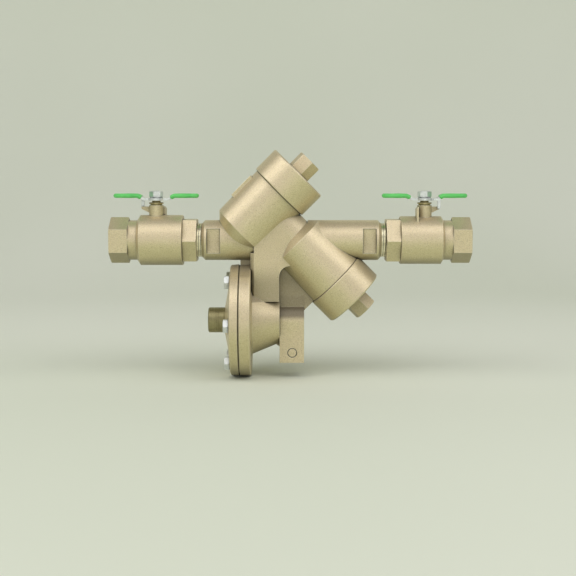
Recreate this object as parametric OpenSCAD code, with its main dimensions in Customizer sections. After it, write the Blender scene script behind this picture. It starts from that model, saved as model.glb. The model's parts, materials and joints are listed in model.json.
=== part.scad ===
// Reduced-pressure backflow preventer for a one-inch irrigation line.
// Two spring-loaded checks sit in a Y-pattern bronze casting. A diaphragm relief valve hangs
// under the zone between them, and a quarter-turn ball valve closes each end.
// Frame: origin at the centre of the inlet face, +X with the flow, +Z up, -Y to the front.

/* [Ball valves] */
// Size across the flats of the end hexagon
end_hex_af = 41; // [40:0.5:44]
// Length of the end hexagon
end_hex_l = 19; // [18:0.5:24]
// Diameter of the neck behind the hexagon
neck_d = 40.8; // [39.6:0.2:43]
// Length of the neck
neck_l = 8.8; // [8.4:0.2:13]
// Diameter of the inlet valve's barrel
inlet_barrel_d = 51.7; // [50:0.1:56]
// Diameter of the outlet valve's barrel
outlet_barrel_d = 49.3; // [48.6:0.1:56]
// Barrel length from its outer end to the stem axis
barrel_out_l = 19.4; // [18.6:0.1:21]
// Inlet barrel length from the stem axis to the retainer
inlet_barrel_l = 27.5; // [25:0.1:31]
// Outlet barrel length from the stem axis to the retainer
outlet_barrel_l = 25.2; // [24:0.1:31]
// Size across the flats of the retainer hexagon
retainer_af = 42.5; // [40:0.5:46]
// Length of the retainer hexagon
retainer_l = 14.6; // [12:0.1:20]
// Length of male thread left showing between retainer and casting
tail_gap = 4.8; // [3:0.2:8]
// Outside diameter of the retainer's male thread
tail_d = 33.4; // [32:0.1:34.4]
// Diameter of the threaded port at each end
port_d = 31.4; // [29.4:0.2:33]
// Depth of the threaded port
port_l = 17; // [13:0.5:18]
// Bore through the ball and its seats
waterway_d = 25.4; // [22:0.2:26]
// Diameter of the ball
ball_d = 38; // [37:0.25:39]

/* [Stem and handle] */
// Diameter of the bonnet
bonnet_d = 15; // [14.6:0.2:18]
// Height of the bonnet's top above the pipe axis
bonnet_top = 35.9; // [35:0.1:40]
// Diameter of the valve stem
stem_d = 9; // [8.5:0.1:9.4]
// Height of the handle's underside above the bonnet
handle_rise = 5; // [4:0.1:7]
// Diameter of the gland's flange
gland_d = 14.9; // [13:0.1:17]
// Thickness of the handle's steel strip
handle_t = 2.3; // [1.6:0.1:3]
// Width of the handle's wings
handle_w = 12; // [9:0.5:13]
// Distance from the stem axis to the start of each ramp
handle_flat = 12.5; // [11.5:0.5:14.5]
// Height that the ramps lift the wings
wing_rise = 3.7; // [2.5:0.1:6]
// Length of each ramp along the handle
ramp_run = 6.4; // [4:0.1:9]
// Distance from the stem axis to the end of a grip
handle_reach = 44.2; // [36:0.2:60]
// Length of a grip
grip_l = 28.6; // [20:0.2:32]
// Width of a grip
grip_w = 15; // [14:0.5:18]
// Thickness of a grip
grip_t = 4.6; // [4.2:0.1:6]
// Size across the flats of the handle nut
nut_af = 12.5; // [11:0.5:14]
// Height of the handle nut
nut_h = 6.9; // [5:0.1:9]
// Turn of the inlet handle's nut on its stem
inlet_nut_turn = 13; // [0:1:59]
// Turn of the outlet handle's nut on its stem
outlet_nut_turn = 47; // [0:1:59]

/* [Casting] */
// Length of the casting along the pipe
body_l = 184.8; // [180:0.2:210]
// Outside diameter of the pipe ends
pipe_d = 41.3; // [40:0.1:44]
// Bore of the pipe ends
pipe_bore_d = 26; // [22:0.2:27]
// Distance across the two wrench flats on each pipe end
flat_across = 31.6; // [31:0.1:36]
// Length of a wrench flat
flat_l = 14; // [8:0.5:16]
// Height of a wrench flat
flat_h = 25.2; // [20:0.2:27]
// Distance from the casting's end to the wrench flat
flat_inset = 5.6; // [4:0.1:9]
// Distance across the flat sides of the centre block
block_t = 43.4; // [43.4:0.2:48]
// Thickness of the web over the spout
web_t = 20; // [16:0.2:34]

/* [Check chambers] */
// Distance from the casting's inlet end to the first check's axis
check1_inset = 30.1; // [28:0.1:36]
// Distance between the two check axes along the pipe
check_pitch = 67.1; // [66:0.1:72]
// Distance from the pipe axis to the first chamber's seam
seam1 = 69.7; // [69:0.1:76]
// Distance from the pipe axis to the second chamber's seam
seam2 = 56.8; // [56:0.1:64]
// Distance from the pipe axis to the start of the first chamber
start1 = 13.6; // [12:0.1:16]
// Distance from the pipe axis to the start of the second chamber
start2 = 1.9; // [1:0.1:4]
// Outside diameter of the chambers at their start
chamber_d = 61; // [60:0.1:66]
// Outside diameter of the first chamber at its seam
mouth1_d = 63; // [62:0.1:67]
// Outside diameter of the second chamber at its seam
mouth2_d = 65.4; // [62:0.1:67]
// Length of the cone between the throat and the second chamber
cone2_l = 7.2; // [5:0.1:9]
// Inside diameter of the chambers
chamber_bore_d = 52; // [50:0.1:53]
// Outside diameter of the throat between the chambers
throat_d = 43.2; // [41:0.1:46]
// Bore of the throat
throat_bore_d = 30; // [26:0.2:32]
// Distance from a seat's lip to the seam above it
cartridge_l = 45.7; // [45:0.1:47]
// Diameter of a cap
cap_d = 67.2; // [66:0.1:72]
// Height of a cap
cap_h = 28.6; // [28:0.1:36]
// Size across the flats of a cap's hexagon
cap_hex_af = 23; // [18:0.5:28]
// Height of a cap's hexagon
cap_hex_h = 17; // [8:0.5:20]
// Turn of the first cap's hexagon about its axis
cap1_hex_turn = 43; // [0:1:59]
// Turn of the second cap's hexagon about its axis
cap2_hex_turn = 17; // [0:1:59]

/* [Check parts] */
// Bore of a check seat
seat_bore_d = 26; // [22:0.2:26]
// Outside diameter of a check seat
seat_d = 40.4; // [38:0.1:42]
// Height of a check seat below its lip
seat_h = 10; // [9:0.1:11]
// Lift of a check poppet
check_lift = 8.5; // [5:0.5:9]
// Diameter of a poppet's head
poppet_d = 40; // [38:0.2:42]
// Diameter of a poppet's guide stem
guide_d = 10; // [8:0.2:11]
// Wire diameter of the first check's spring
check1_wire_d = 2.4; // [1.8:0.1:2.8]
// Wire diameter of the second check's spring
check2_wire_d = 1.8; // [1.2:0.1:2.6]
// Mean coil diameter of a check spring
check_coil_d = 27; // [25:0.5:30]

/* [Relief valve] */
// Distance along the pipe from the first check's axis to the diaphragm face
relief_offset = 9.2; // [8.6:0.1:11]
// Depth of the relief axis below the pipe axis
relief_drop = 83.2; // [82.8:0.1:92]
// Diameter of the two diaphragm flanges
flange_d = 115.8; // [114:0.2:120]
// Thickness of the casting's flange
flange_t = 11.5; // [10:0.1:12]
// Thickness of the cover at its rim
cover_rim_t = 8.8; // [7:0.1:10]
// Height of the cover's centre above its clamped face
cover_h = 14.6; // [14.5:0.1:17]
// Thickness of the diaphragm
diaphragm_t = 1; // [0.8:0.1:2.5]
// From the flange's rim to the middle of a bolt
bolt_inset = 9.9; // [8.4:0.1:10]
// Number of cover bolts
bolt_count = 6; // [4:1:6]
// Shank diameter of a cover bolt
bolt_d = 7.94; // [6:0.02:8.5]
// Size across the flats of a bolt head
bolt_af = 12.7; // [11:0.1:14]
// Thickness of a bolt head
bolt_head_h = 5.4; // [4:0.1:6.5]
// Diameter of the cone at the flange
cone_base_d = 70.4; // [68:0.2:76]
// Diameter of the cone near the spout
cone_end_d = 50.8; // [48:0.2:56]
// Diameter of the port stub on the cover
stub_d = 26; // [24:0.2:28]
// Length of the port stub
stub_l = 17.5; // [16:0.5:24]
// Travel of the relief stem from open to closed
relief_travel = 6.5; // [4:0.5:6.5]
// Wire diameter of the relief spring
relief_wire_d = 2.2; // [1.6:0.1:2.4]

/* [Spout] */
// Width of the spout along the pipe
spout_w = 24.5; // [24:0.5:32]
// Depth of the spout across the pipe, and the size of its round top
spout_d = 36; // [35.4:0.2:44]
// Depth of the spout's mouth below the relief axis
spout_drop = 42.4; // [36:0.2:60]
// Wall of the spout
spout_wall = 4.3; // [3:0.1:6]
// Diameter of the round groove on the spout
spot_d = 10; // [6:0.5:14]

/* [Test cocks] */
// Diameter of a test cock's boss on the casting
cock_boss_d = 19; // [17:0.5:20]
// Size across the flats of a test cock's hexagon
cock_af = 16; // [14:0.5:17]
// Diameter of a test cock's barrel
cock_barrel_d = 17; // [15:0.2:18]
// Length of a test cock outside its boss
cock_l = 28; // [26:0.5:34]
// Thread diameter of a test cock
cock_thread_d = 13.2; // [12:0.1:13.7]
// Diameter of a test cock's plug
cock_plug_d = 9.1; // [8:0.1:10]

/* [Fits] */
// Gap per side between a shaft or a thread and its hole
fit = 0.05; // [0.02:0.01:0.1]
// Gap between faces that meet when a joint closes
face_gap = 0.05; // [0.02:0.01:0.2]

/* [Hidden] */
$fn = 96;

bronze = [0.80, 0.72, 0.53];
brass = [0.62, 0.54, 0.33];
zinc = [0.78, 0.79, 0.78];
ptfe = [0.93, 0.93, 0.90];
rubber = [0.12, 0.12, 0.12];
vinyl = [0.30, 0.76, 0.36];
steel = [0.66, 0.67, 0.66];

big = 300;
tilt = 45;
eps = 0.4;

// Radii
ball_r = ball_d / 2;
waterway_r = waterway_d / 2;
bonnet_r = bonnet_d / 2;
neck_r = neck_d / 2;
tail_r = tail_d / 2;
pipe_r = pipe_d / 2;
pipe_bore_r = pipe_bore_d / 2;
chamber_r = chamber_d / 2;
chamber_bore_r = chamber_bore_d / 2;
throat_r = throat_d / 2;
cap_r = cap_d / 2;
seat_r = seat_d / 2;
guide_r = guide_d / 2;
flange_r = flange_d / 2;
bolt_circle_r = flange_r - bolt_inset;
stub_r = stub_d / 2;
stem_r = stem_d / 2;

// Stations along the pipe
stem_x = end_hex_l + neck_l + barrel_out_l;
body_x0 = stem_x + inlet_barrel_l + retainer_l + tail_gap;
body_x1 = body_x0 + body_l;
total_l = body_x1 + tail_gap + retainer_l + outlet_barrel_l + stem_x;
check1_x = body_x0 + check1_inset;
check2_x = check1_x + check_pitch;
diaphragm_x = check1_x + relief_offset;
// Distance from the pipe axis, along each check axis, to the point where the two cross
cross_s = check_pitch / 2 / sin(tilt);

// Ball valve, measured from the stem axis
ball_gap = 1.45;
cavity_r = ball_r + ball_gap;
seat_face = sqrt(ball_r * ball_r - waterway_r * waterway_r) + 2.9;
seat_ring_l = 5.5;
seat_ring_r = ball_r - 1;
slot_w = 5.4;
slot_depth = 4.8;
tang_w = slot_w - 0.4;
tang_l = 12;
shoulder_h = 2;
shoulder_r = stem_r + 1.85;
shoulder_z = ball_r + 0.3;
washer_t = 1;
stem_pocket_r = shoulder_r + 0.4;
pocket_top = shoulder_z + shoulder_h + washer_t;
stuffing_z = bonnet_top - 6.9;
stuffing_r = stem_r + 1.65;
packing_h = 4;
gland_z = bonnet_top + 1.5;
gland_flange_t = 1.4;
handle_z = bonnet_top + handle_rise;
thread_r = 4;
thread_flat = 3.2;
ramp_angle = atan(wing_rise / ramp_run);
ramp_bend = tan(ramp_angle / 2);
wing_z = handle_z + wing_rise + handle_t / 2;
nut_gap = 0.6;
tab_x = 14.3;
tab_t = 3;
tab_w = 4;
tab_drop = 8.2;
lug_w = 3.5;
lug_back = 2.5;
lug_reach = 15.3;
fin_w = 2.2;
lug_top = bonnet_top - 1.3;
tab_gap = 0.3;
tail_thread_l = 5.2;
pilot_l = 6;
pilot_r = waterway_r + 1.5;

// Check cartridges, measured from the seat's lip
lip_r = seat_bore_d / 2 + 1.4;
lip_w = 1.4;
lip_h = 1.5;
floor_drop = 2;
disc_t = 3.05;
disc_r = poppet_d / 2 - 1.4;
head_top = 8;
retainer_plate_r = seat_bore_d / 2 - 1.5;
retainer_plate_t = 1.8;
screw_r = 2.5;
screw_l = 14;
guide_top = 52;
skirt_l = 7.5;
skirt_wall = 4.4;
ceiling = cap_h - 6.3;
guide_boss_drop = 1.7;
guide_boss_r = guide_r + 4;
guide_bore_top = ceiling - 2;
oring_r = 1;
groove_floor = 2.1;
cap_run_out = 0.6;

// Relief valve, measured to the right of the diaphragm face
zone_plate_t = 3;
inlet_plate_t = 2.5;
cavity_edge_r = bolt_circle_r - bolt_d / 2 - 3.93;
plate_r = cavity_edge_r - 13;
cavity_wall_r = cavity_edge_r - 10.5;
cavity_wall_x = 9;
cavity_turn_x = 12.5;
cavity_floor_r = 20;
half_travel = relief_travel / 2;
diaphragm_mid = -diaphragm_t / 2;
plate_face = diaphragm_mid + diaphragm_t / 2 - half_travel;
relief_floor = 32.8;
seat_flange_t = 3;
relief_lip = 1.2;
relief_lip_x = relief_floor - seat_flange_t - relief_lip;
relief_seat_thread_l = 7.2;
relief_seat_thread_r = 13.4;
relief_seat_flange_r = 16;
relief_seat_bore_r = 9;
relief_seal_r = (relief_seat_flange_r + relief_seat_thread_r) / 2;
relief_seal_section = 0.75;
relief_groove_w = 1.6;
relief_disc_t = 3;
relief_disc_r = 12;
tail_pin_r = 3;
relief_coil_r = 17.5;
stem_main_r = 4;
end_pin_r = 3.5;
bush_r = 5.95;
bush_l = 11;
shank_r = 11;
cone_base_x = 13.2;
cone_end_x = 36.9;
cone_stop_x = 40.9;
spout_x = 41.6;
spot_rise = 10.4;
spot_groove = 0.8;
passage_r = 2;
lug_y = passage_r + 3.5;
passage_drop = bolt_circle_r - 2.9;
passage_x = flange_t / 2;
bolt_face = -diaphragm_t - cover_rim_t - 0.35;

// Duct between the zone and the relief valve, measured to the right of the diaphragm face
duct_x0 = 11.2;
duct_x1 = 40.5;
duct_edge = 3.6;
duct_bore_x0 = 23.8;
duct_bore_x1 = 34.8;
duct_bore_y = 10;

// Test cocks: place of each boss face, in the order of the flow
cock_face = 22;
cock1_face = inlet_barrel_d / 2 + 1.2;
cock1_x = stem_x - seat_face - 5.5;
cock_end_inset = 15.6;
cock3_x = diaphragm_x + (duct_bore_x0 + duct_bore_x1) / 2;
cock3_z = -25;
cock_thread_l = 7.3;
cock_hex_l = 7;
cock_plug_y = 12;
cock_plug_top = 13.5;
cock_plug_bottom = -5.5;
cock_way_r = 2.6;
cock_port_r = 5.9;
cock_port_l = 10;
cock_neck_h = 10;
cocks = [
    [cock1_x, cock1_face, 0],
    [body_x0 + cock_end_inset, cock_face, 0],
    [cock3_x, cock_face, cock3_z],
    [body_x1 - cock_end_inset, cock_face, 0]
];

// ---- Placing ----

module along_x() rotate([0, 90, 0]) children();
module along_y() rotate([-90, 0, 0]) children();
module at_check1() translate([check1_x, 0, 0]) rotate([0, tilt, 0]) children();
module at_check2() translate([check2_x, 0, 0]) rotate([0, 180 - tilt, 0]) children();
module at_seat1() at_check1() translate([0, 0, seam1 - cartridge_l]) children();
module at_seat2() at_check2() translate([0, 0, seam2 - cartridge_l]) children();
module at_inlet() translate([stem_x, 0, 0]) children();
module at_outlet() translate([total_l - stem_x, 0, 0]) rotate([0, 0, 180]) children();
module at_relief() translate([diaphragm_x, 0, -relief_drop]) along_x() children();
module at_bolts() {
    for (i = [0:bolt_count - 1]) {
        at_relief() rotate([0, 0, 90 + i * 360 / bolt_count]) translate([bolt_circle_r, 0, 0]) children();
    }
}
module at_cock(i) translate(cocks[i]) children();

// ---- Shared shapes ----

// A ring between two heights
module ring(outer, inner, from, to) {
    rotate_extrude() translate([inner, from]) square([outer - inner, to - from]);
}

// A plain rod between two heights
module rod(r, from, to) translate([0, 0, from]) cylinder(r = r, h = to - from);

// An O-ring about the local Z axis
module oring(mean, height, section = oring_r) {
    translate([0, 0, height]) rotate_extrude() translate([mean, 0]) circle(r = section, $fn = 32);
}

// A hexagonal prism with its corners turned off at both ends
module hex_prism(af, h, bevel = 1) {
    corner = af / 2 / cos(30);
    intersection() {
        cylinder(r = corner, h = h, $fn = 6);
        rotate_extrude() polygon([
            [0, 0], [corner - 2 * bevel, 0], [corner + eps, bevel + eps / 2],
            [corner + eps, h - bevel - eps / 2], [corner - 2 * bevel, h], [0, h]
        ]);
    }
}

// Height of a spring's wire after some turns: one close coil at each end, even pitch between
function coil_height(u, turns, wire, length) =
    let (close = 1.04 * wire)
    u < 1 ? close * u
    : u > turns - 1 ? length - wire - close * (turns - u)
    : close + (u - 1) / (turns - 2) * (length - wire - 2 * close);

// A round-wire compression spring standing on the local XY plane
module coil_spring(mean, wire, length, turns, steps = 16, sides = 8) {
    rings = turns * steps;
    points = [
        for (i = [0:rings], j = [0:sides - 1])
            let (
                turn = 360 * i / steps,
                side = 360 * j / sides,
                r = mean + wire / 2 * cos(side),
                z = wire / 2 + coil_height(i / steps, turns, wire, length) + wire / 2 * sin(side)
            )
            [r * cos(turn), r * sin(turn), z]
    ];
    walls = [
        for (i = [0:rings - 1], j = [0:sides - 1])
            let (k = (j + 1) % sides)
            [i * sides + j, i * sides + k, (i + 1) * sides + k, (i + 1) * sides + j]
    ];
    first = [for (j = [sides - 1:-1:0]) j];
    last = [for (j = [0:sides - 1]) rings * sides + j];
    polyhedron(points, concat(walls, [first, last]));
}

// ---- Casting ----

// A pipe end with its turned chamfer, growing along local Z
module pipe_end(l) {
    rotate_extrude() polygon([
        [0, 0], [pipe_r - 3.6, 0], [pipe_r, 3.4], [pipe_r, l], [0, l]
    ]);
}

// A check chamber with a cone under it, from the cone's tip radius to the seam
module chamber(tip_r, cone_l, start, mouth_r, seam) {
    tip = start - cone_l;
    rotate_extrude() polygon([
        [0, tip], [tip_r, tip], [chamber_r, start], [mouth_r, seam], [0, seam]
    ]);
}

// The flat-sided block between the chambers, drawn in the XZ plane
module centre_block() {
    left = diaphragm_x + duct_x0 + duct_edge;
    right = diaphragm_x + duct_x1;
    blend = 11;
    blend_z = right - check2_x - 18.8;
    rotate([90, 0, 0]) linear_extrude(height = block_t, center = true) difference() {
        polygon([
            [left, blend_z - 4], [left, -3], [check1_x + 17, 5],
            [check1_x + cross_s * sin(tilt), cross_s * cos(tilt)],
            [check2_x + 7, -7], [check2_x - 5, -20], [right + blend, blend_z],
            [right, blend_z], [right, blend_z - 4]
        ]);
        translate([right + blend, blend_z]) circle(r = blend);
    }
}

// The duct from the zone down to the relief valve, with its outer corners taken off
module duct() {
    y = block_t / 2;
    translate([diaphragm_x, 0, -relief_drop + cone_end_d / 2 - 4])
        linear_extrude(height = relief_drop - cone_end_d / 2 - 8) polygon([
            [duct_x0, duct_edge - y], [duct_x0 + duct_edge, -y], [duct_x1, -y],
            [duct_x1, y], [duct_x0 + duct_edge, y], [duct_x0, y - duct_edge]
        ]);
}

// The web that ties the second chamber to the cone and the spout
module web() {
    left = diaphragm_x + duct_x1 - 2;
    right = diaphragm_x + spout_x + spout_w;
    seam_sum = check2_x + seam2 / sin(tilt);
    top_r = mouth2_d / 2 - 8;
    seam_x = check2_x + (seam2 - top_r) * sin(tilt);
    rotate([90, 0, 0]) linear_extrude(height = web_t, center = true) polygon([
        [left, -relief_drop + 5], [left, -26], [check2_x, -24],
        [seam_x, seam_x - seam_sum], [right, right - seam_sum], [right, -relief_drop + 5]
    ]);
}

// The casting's half of the relief valve: flange and cone
module relief_housing() {
    edge = 0.8;
    at_relief() rotate_extrude() polygon([
        [0, 0], [flange_r - edge, 0], [flange_r, edge], [flange_r, flange_t - edge],
        [flange_r - edge, flange_t], [cone_base_d / 2 + 2.5, flange_t],
        [cone_base_d / 2, cone_base_x], [cone_end_d / 2, cone_end_x],
        [cone_end_d / 2 - 1.6, cone_stop_x], [0, cone_stop_x]
    ]);
}

// A passage along the pipe, round over the relief axis and straight-sided below it
module arch(from, to, width, drop) {
    translate([diaphragm_x + from, 0, -relief_drop]) rotate([90, 0, 90]) linear_extrude(height = to - from) {
        circle(d = width);
        translate([-width / 2, -drop]) square([width, drop]);
    }
}

// The discharge spout, with the small gusset under the cone's end
module spout() {
    arch(spout_x - 2 * eps, spout_x + spout_w, spout_d, spout_drop);
    translate([diaphragm_x, 0, -relief_drop]) rotate([90, 0, 0])
        linear_extrude(height = 12, center = true) polygon([
            [cone_end_x - 1, -cone_end_d / 2 + 4], [cone_end_x + 0.6, 0.4 - cone_end_d / 2],
            [spout_x + eps, -cone_end_d / 2 - 2.4], [spout_x + eps, -cone_end_d / 2 + 4]
        ]);
}

// The lug that carries the sensing passage from the inlet pipe to the flange
module sensing_lug() {
    translate([diaphragm_x + eps, -lug_y, -relief_drop + flange_r - 10])
        cube([flange_t - 2 * eps, 2 * lug_y, relief_drop - flange_r]);
}

// A boss for a test cock, tapped from its face
module cock_boss(depth) along_y() translate([0, 0, -depth]) cylinder(d = cock_boss_d, h = depth);
module cock_hole(depth) along_y() {
    rod(cock_thread_d / 2, -cock_thread_l - eps, big / 4);
    rod(cock_way_r, -depth, 0);
}

// Everything that is cut from the casting's pipe ends
module pipe_end_cuts() {
    along_x() {
        rod(tail_r + fit, -eps, tail_thread_l + eps);
        rod(pilot_r + fit, 0, tail_thread_l + pilot_l + eps);
    }
}
module wrench_flats() {
    for (side = [-1, 1]) {
        translate([flat_inset, side * flat_across / 2 - (side < 0 ? pipe_r : 0), -flat_h / 2])
            cube([flat_l, pipe_r, flat_h]);
    }
}

module main_body() color(bronze) difference() {
    union() {
        difference() {
            union() {
                translate([body_x0, 0, 0]) along_x() pipe_end(check1_inset + 25);
                translate([body_x1, 0, 0]) rotate([0, 0, 180]) along_x()
                    pipe_end(body_x1 - check2_x - 12);
            }
            translate([body_x0, 0, 0]) wrench_flats();
            translate([body_x1, 0, 0]) rotate([0, 0, 180]) wrench_flats();
            at_check2() rod(cap_r + cap_run_out, seam2 - 0.5, seam2 + cap_h);
        }
        at_check1() chamber(10, chamber_r - 10, start1, mouth1_d / 2, seam1);
        at_check2() chamber(throat_r, cone2_l, start2, mouth2_d / 2, seam2);
        at_check2() rod(throat_r, -cross_s, start2);
        at_check1() translate([-chamber_r - 2.3, -10, seam1 - 36.2]) cube([8, 20, 28]);
        centre_block();
        duct();
        web();
        relief_housing();
        spout();
        sensing_lug();
        for (i = [1:3]) at_cock(i) cock_boss(cock_face - 10);
    }
    // Waterway: inlet bore, first seat and chamber, throat, second seat and chamber, outlet bore
    translate([body_x0, 0, 0]) pipe_end_cuts();
    translate([body_x1, 0, 0]) rotate([0, 0, 180]) pipe_end_cuts();
    translate([body_x0, 0, 0]) along_x() rod(pipe_bore_r, 0, check1_inset);
    at_check1() sphere(r = pipe_bore_r + 0.8);
    at_check1() rod(pipe_bore_r, 0, seam1 - cartridge_l);
    at_seat1() rod(seat_r + fit, -seat_h, 0);
    at_seat1() rod(chamber_bore_r, -floor_drop, cartridge_l + big);
    at_check2() rod(throat_bore_d / 2, -cross_s, 1);
    at_seat2() rod(seat_r + fit, -seat_h, 0);
    at_seat2() rod(chamber_bore_r, -floor_drop, cartridge_l + big);
    translate([check2_x + 23, 0, 0]) along_x() rod(pipe_bore_r, 0, body_x1 - check2_x - 23);
    // Duct, relief chamber, relief seat hole and spout
    translate([diaphragm_x + duct_bore_x0, -duct_bore_y, -relief_drop + 15])
        cube([duct_bore_x1 - duct_bore_x0, 2 * duct_bore_y, relief_drop - 9]);
    at_relief() rotate_extrude() polygon([
        [0, -1], [cavity_edge_r, -1], [cavity_edge_r, 3], [cavity_wall_r, cavity_wall_x],
        [cavity_wall_r - 2.5, cavity_turn_x], [cavity_floor_r, relief_floor], [0, relief_floor]
    ]);
    at_relief() rod(relief_seat_thread_r + fit, relief_floor - 1, relief_floor + relief_seat_thread_l + 0.3);
    at_relief() rod(relief_seat_bore_r + 0.6, relief_floor, spout_x + spout_wall + 1);
    arch(spout_x + spout_wall, spout_x + spout_w - spout_wall, spout_d - 2 * spout_wall, big);
    translate([diaphragm_x + spout_x + spout_w / 2, -spout_d / 2, -relief_drop - spout_drop + spot_rise])
        rotate([90, 0, 0]) ring(spot_d / 2, spot_d / 2 - spot_groove, -spot_groove, 1);
    // Bolt holes and the sensing passage
    at_bolts() rod(bolt_d / 2 + fit, -1, flange_t + 1);
    translate([diaphragm_x + passage_x, 0, -relief_drop + passage_drop - passage_r])
        cylinder(r = passage_r, h = relief_drop - passage_drop);
    at_relief() translate([-passage_drop, 0, -1]) cylinder(r = passage_r, h = passage_x + 1);
    // Test cock holes
    for (i = [1:3]) at_cock(i) cock_hole(cock_face - (i == 2 ? duct_bore_y : pipe_bore_r) + 1);
}

// ---- Checks: every part is drawn from the lip of its seat, opening along +Z ----

module cap(turn) color(bronze) translate([0, 0, cartridge_l]) {
    bevel = 1.2;
    skirt_r = chamber_bore_r - fit;
    difference() {
        union() {
            rotate_extrude() polygon([
                [skirt_r - skirt_wall, -skirt_l], [skirt_r - 0.6, -skirt_l], [skirt_r, 0.6 - skirt_l],
                [skirt_r, -3.2], [chamber_bore_r - groove_floor, -3.2],
                [chamber_bore_r - groove_floor, -0.8], [skirt_r, -0.8], [skirt_r, 0],
                [cap_r - 1, 0], [cap_r, 1], [cap_r, cap_h - bevel], [cap_r - bevel, cap_h],
                [0, cap_h], [0, ceiling], [skirt_r - skirt_wall, ceiling]
            ]);
            rod(guide_boss_r, -guide_boss_drop, ceiling + 1);
            translate([0, 0, cap_h - eps]) rotate([0, 0, turn]) hex_prism(cap_hex_af, cap_hex_h + eps, 0.7);
        }
        rod(guide_r + fit, -guide_boss_drop - 1, guide_bore_top);
    }
}

module cap_oring() color(rubber) translate([0, 0, cartridge_l]) oring(chamber_bore_r - 1.05, -2);

module check_seat() color(brass) difference() {
    rotate_extrude() polygon([
        [seat_bore_d / 2, -seat_h], [seat_r, -seat_h], [seat_r, -7.2], [seat_r - 1.9, -7.2],
        [seat_r - 1.9, -4.9], [seat_r, -4.9], [seat_r, -lip_h], [lip_r + lip_w, -lip_h],
        [lip_r + lip_w, 0], [lip_r, 0], [lip_r - 0.7, -lip_h], [seat_bore_d / 2, -lip_h]
    ]);
    for (side = [0, 180]) rotate([0, 0, side]) translate([seat_r - 3.4, -2, -3.6]) cube([6, 4, 5]);
}

module seat_oring() color(rubber) oring(seat_r - 0.92, -6.05, 0.92);

module poppet() color(steel) difference() {
    rotate_extrude() polygon([
        [0, disc_t + face_gap], [disc_r + fit, disc_t + face_gap], [disc_r + fit, 1],
        [poppet_d / 2, 1], [poppet_d / 2, head_top - 1.5], [poppet_d / 2 - 1.5, head_top],
        [guide_r + 4, head_top], [guide_r, head_top + 4], [guide_r, guide_top - 1],
        [guide_r - 1, guide_top], [0, guide_top]
    ]);
    rod(screw_r + fit, 0, screw_l + 1);
}

module check_disc() color(rubber) ring(disc_r, screw_r + fit, face_gap, disc_t);

module disc_retainer() color(steel) ring(retainer_plate_r, screw_r + fit, -retainer_plate_t, 0);

module retainer_screw() color(zinc) {
    rod(screw_r, -retainer_plate_t - eps, screw_l);
    translate([0, 0, -retainer_plate_t - 3]) hex_prism(8, 3, 0.6);
}

module check_spring(wire) color(steel) translate([0, 0, head_top + 0.1])
    coil_spring(check_coil_d / 2, wire, cartridge_l + ceiling - head_top - 0.2, 8);

module check1_cap() at_seat1() cap(cap1_hex_turn);
module check1_cap_oring() at_seat1() cap_oring();
module check1_seat() at_seat1() check_seat();
module check1_seat_oring() at_seat1() seat_oring();
module check1_spring() at_seat1() check_spring(check1_wire_d);
module check1_poppet() at_seat1() poppet();
module check1_disc() at_seat1() check_disc();
module check1_disc_retainer() at_seat1() disc_retainer();
module check1_retainer_screw() at_seat1() retainer_screw();
module check2_cap() at_seat2() cap(cap2_hex_turn);
module check2_cap_oring() at_seat2() cap_oring();
module check2_seat() at_seat2() check_seat();
module check2_seat_oring() at_seat2() seat_oring();
module check2_spring() at_seat2() check_spring(check2_wire_d);
module check2_poppet() at_seat2() poppet();
module check2_disc() at_seat2() check_disc();
module check2_disc_retainer() at_seat2() disc_retainer();
module check2_retainer_screw() at_seat2() retainer_screw();

// ---- Relief valve ----

module relief_cover() color(bronze) {
    face = -diaphragm_t;
    rim = face - cover_rim_t;
    centre = face - cover_h;
    difference() {
        at_relief() rotate_extrude() polygon([
            [0, centre], [stub_r + 2.6, centre], [cavity_edge_r - 6.7, centre + 3.5],
            [bolt_circle_r, rim - 0.7],
            [flange_r - 1.7, rim], [flange_r - 0.7, rim + 1], [flange_r, face - 0.5],
            [flange_r - 0.5, face], [cavity_edge_r, face], [cavity_edge_r, -4.8],
            [cavity_edge_r - 7, -8.6], [0, -8.6]
        ]);
        at_relief() rod(shank_r + fit, centre - 1, 0);
        at_bolts() {
            rod(bolt_d / 2 + 0.3, -big, 1);
            rod(bolt_af / 2 + 1.9, -big, bolt_face);
        }
        at_relief() translate([-passage_drop, 0, -4.6]) cylinder(r = passage_r, h = 10);
        translate([diaphragm_x - 4.6, 0, -relief_drop + cavity_edge_r - 6])
            cylinder(r = 1.6, h = passage_drop - cavity_edge_r + 6);
    }
}

module relief_diaphragm() color(rubber) difference() {
    at_relief() rotate_extrude() polygon([
        [stem_main_r + fit, plate_face - diaphragm_t], [plate_r, plate_face - diaphragm_t],
        [cavity_edge_r - 2, -diaphragm_t], [flange_r - 1, -diaphragm_t], [flange_r - 1, 0],
        [cavity_edge_r - 2, 0], [plate_r, plate_face], [stem_main_r + fit, plate_face]
    ]);
    at_bolts() rod(bolt_d / 2 + 0.2, -5, 5);
    at_relief() translate([-passage_drop, 0, -5]) cylinder(r = passage_r, h = 10);
}

module relief_bolts() color(zinc) at_bolts() {
    rod(bolt_d / 2, bolt_face - 1, flange_t - 1.2);
    translate([0, 0, bolt_face - bolt_head_h]) hex_prism(bolt_af, bolt_head_h, 0.6);
}

module relief_port_fitting() color(brass) {
    seat = -diaphragm_t - cover_h;
    bevel = 1;
    at_relief() rotate_extrude() polygon([
        [bush_r + fit, -12.2], [8.4, -12.2], [8.4, -8.6], [shank_r, -8.6], [shank_r, seat], [stub_r, seat],
        [stub_r, seat - stub_l + bevel], [stub_r - bevel, seat - stub_l],
        [5.7, seat - stub_l], [5.7, seat - stub_l + 7.5], [passage_r, seat - stub_l + 7.5],
        [passage_r, -12.65 - bush_l], [bush_r + fit, -12.65 - bush_l]
    ]);
}

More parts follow.
